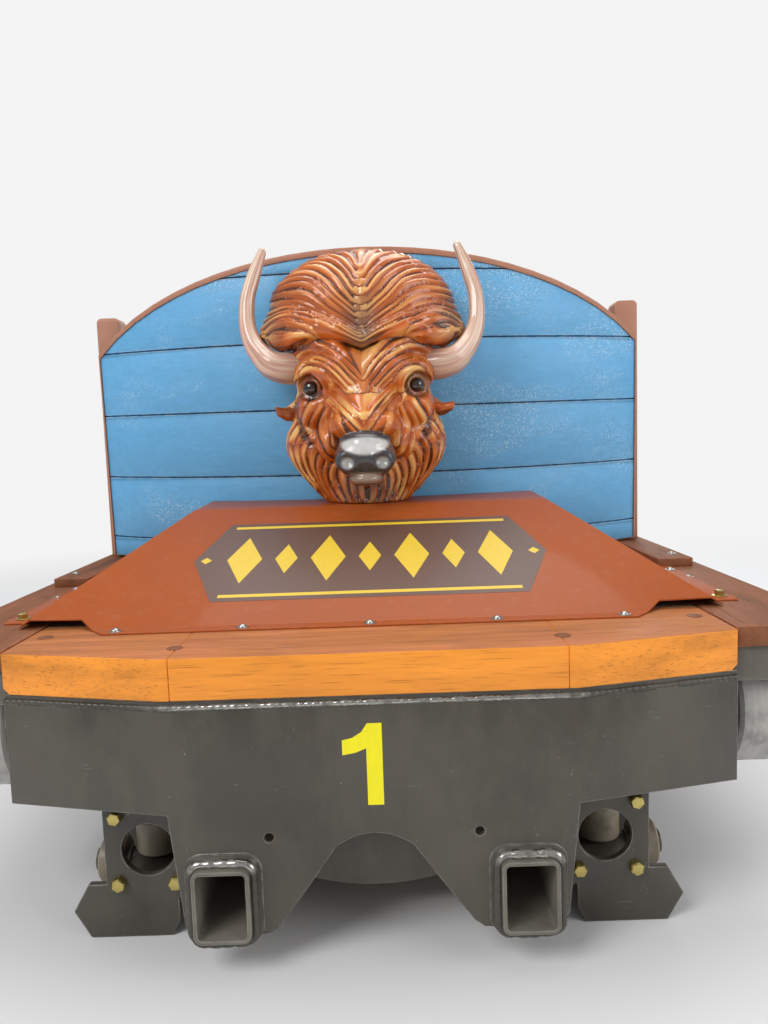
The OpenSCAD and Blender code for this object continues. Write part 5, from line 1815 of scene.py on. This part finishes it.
class CAR_OT_stage(bpy.types.Operator):
    """Make the floor, the lights and the camera"""

    bl_idname = "car.stage"
    bl_label = "Stage"

    def execute(self, context):
        scene = context.scene
        scene.view_settings.view_transform = "Standard"
        self.floor()
        self.world(scene)
        for lamp in LAMPS:
            self.lamp(*lamp)
        self.camera(scene)
        return {"FINISHED"}

    def floor(self):
        bm = bmesh.new()
        bmesh.ops.create_circle(bm, cap_ends=True, segments=96, radius=30)
        mesh = bpy.data.meshes.new("floor")
        bm.to_mesh(mesh)
        bm.free()
        floor = bpy.data.objects.new("floor", mesh)
        bpy.context.scene.collection.objects.link(floor)
        floor.location.z = -0.0006
        f = Finish("pale floor")
        x, y, _ = f.split(f.place())
        away = f.node("ShaderNodeMath", {"operation": "SQRT"}, {0: x * x + y * y})
        grey = 0.80
        f.surface(Base_Color=(grey, grey, grey), Roughness=0.75)
        seen = f.node("ShaderNodeLightPath", output="Is Camera Ray")
        glow = f.node("ShaderNodeEmission", inputs={"Color": (0.90, 0.90, 0.90), "Strength": 1.0})
        lit = Wire(f, f.shader.outputs[0])
        shown = f.node("ShaderNodeMixShader", inputs={0: away.rises(1.6, 4.2) * seen, 1: lit, 2: glow})
        output = f.tree.nodes["Material Output"]
        f.tree.links.new(shown.socket, output.inputs["Surface"])
        mesh.materials.append(f.material)

    def world(self, scene):
        world = bpy.data.worlds.new("studio")
        world.use_nodes = True
        scene.world = world
        nodes, links = world.node_tree.nodes, world.node_tree.links
        nodes.clear()
        path = nodes.new("ShaderNodeLightPath")
        ambient = nodes.new("ShaderNodeBackground")
        ambient.inputs["Color"].default_value = (0.95, 0.97, 1.0, 1.0)
        ambient.inputs["Strength"].default_value = 0.42
        shown = nodes.new("ShaderNodeBackground")
        shown.inputs["Color"].default_value = (0.90, 0.90, 0.90, 1.0)
        mix = nodes.new("ShaderNodeMixShader")
        out = nodes.new("ShaderNodeOutputWorld")
        links.new(path.outputs["Is Camera Ray"], mix.inputs[0])
        links.new(ambient.outputs[0], mix.inputs[1])
        links.new(shown.outputs[0], mix.inputs[2])
        links.new(mix.outputs[0], out.inputs[0])

    def lamp(self, name, place, target, size, power):
        data = bpy.data.lights.new(name, "AREA")
        data.shape = "DISK"
        data.size = size
        data.energy = power
        lamp = bpy.data.objects.new(name, data)
        bpy.context.scene.collection.objects.link(lamp)
        lamp.location = place
        lamp.rotation_euler = (Vector(target) - Vector(place)).to_track_quat("-Z", "Y").to_euler()

    def camera(self, scene):
        ya, pi, ro = CAMERA_YAW, CAMERA_PITCH, CAMERA_ROLL
        ahead = Vector((math.sin(ya) * math.cos(pi), math.cos(ya) * math.cos(pi), -math.sin(pi)))
        right = Vector((math.cos(ya), -math.sin(ya), 0))
        up = right.cross(ahead)
        x = right * math.cos(ro) - up * math.sin(ro)
        y = right * math.sin(ro) + up * math.cos(ro)
        data = bpy.data.cameras.new("photo_camera")
        data.sensor_width = 36.0
        data.lens = FOCAL_PIXELS * data.sensor_width / PICTURE_H
        camera = bpy.data.objects.new("photo_camera", data)
        scene.collection.objects.link(camera)
        turn = Matrix((x, y, -ahead)).transposed().to_4x4()
        turn.translation = CAMERA_AT
        camera.matrix_world = turn
        scene.camera = camera


class CAR_PT_panel(bpy.types.Panel):
    """The car's operators, sizes and colours"""

    bl_label = "Coaster Car"
    bl_idname = "CAR_PT_panel"
    bl_space_type = "VIEW_3D"
    bl_region_type = "UI"
    bl_category = "Coaster Car"

    def draw(self, context):
        for operator in OPERATORS:
            self.layout.operator(operator.bl_idname)
        for group in (context.scene.car_sizes, context.scene.car_colours):
            box = self.layout.box()
            for name in group.__annotations__:
                box.prop(group, name)


OPERATORS = (CAR_OT_steelwork, CAR_OT_wheels, CAR_OT_timber, CAR_OT_cover, CAR_OT_body, CAR_OT_carving,
             CAR_OT_seats, CAR_OT_lap_bars, CAR_OT_stage)
CLASSES = (CarSizes, CarColours, *OPERATORS, CAR_PT_panel)


def register():
    for item in CLASSES:
        bpy.utils.register_class(item)
    bpy.types.Scene.car_sizes = bpy.props.PointerProperty(type=CarSizes)
    bpy.types.Scene.car_colours = bpy.props.PointerProperty(type=CarColours)


def unregister():
    del bpy.types.Scene.car_colours
    del bpy.types.Scene.car_sizes
    for item in reversed(CLASSES):
        bpy.utils.unregister_class(item)


def main():
    register()
    for operator in OPERATORS:
        group, name = operator.bl_idname.split(".")
        getattr(getattr(bpy.ops, group), name)()


if __name__ == "__main__":
    main()
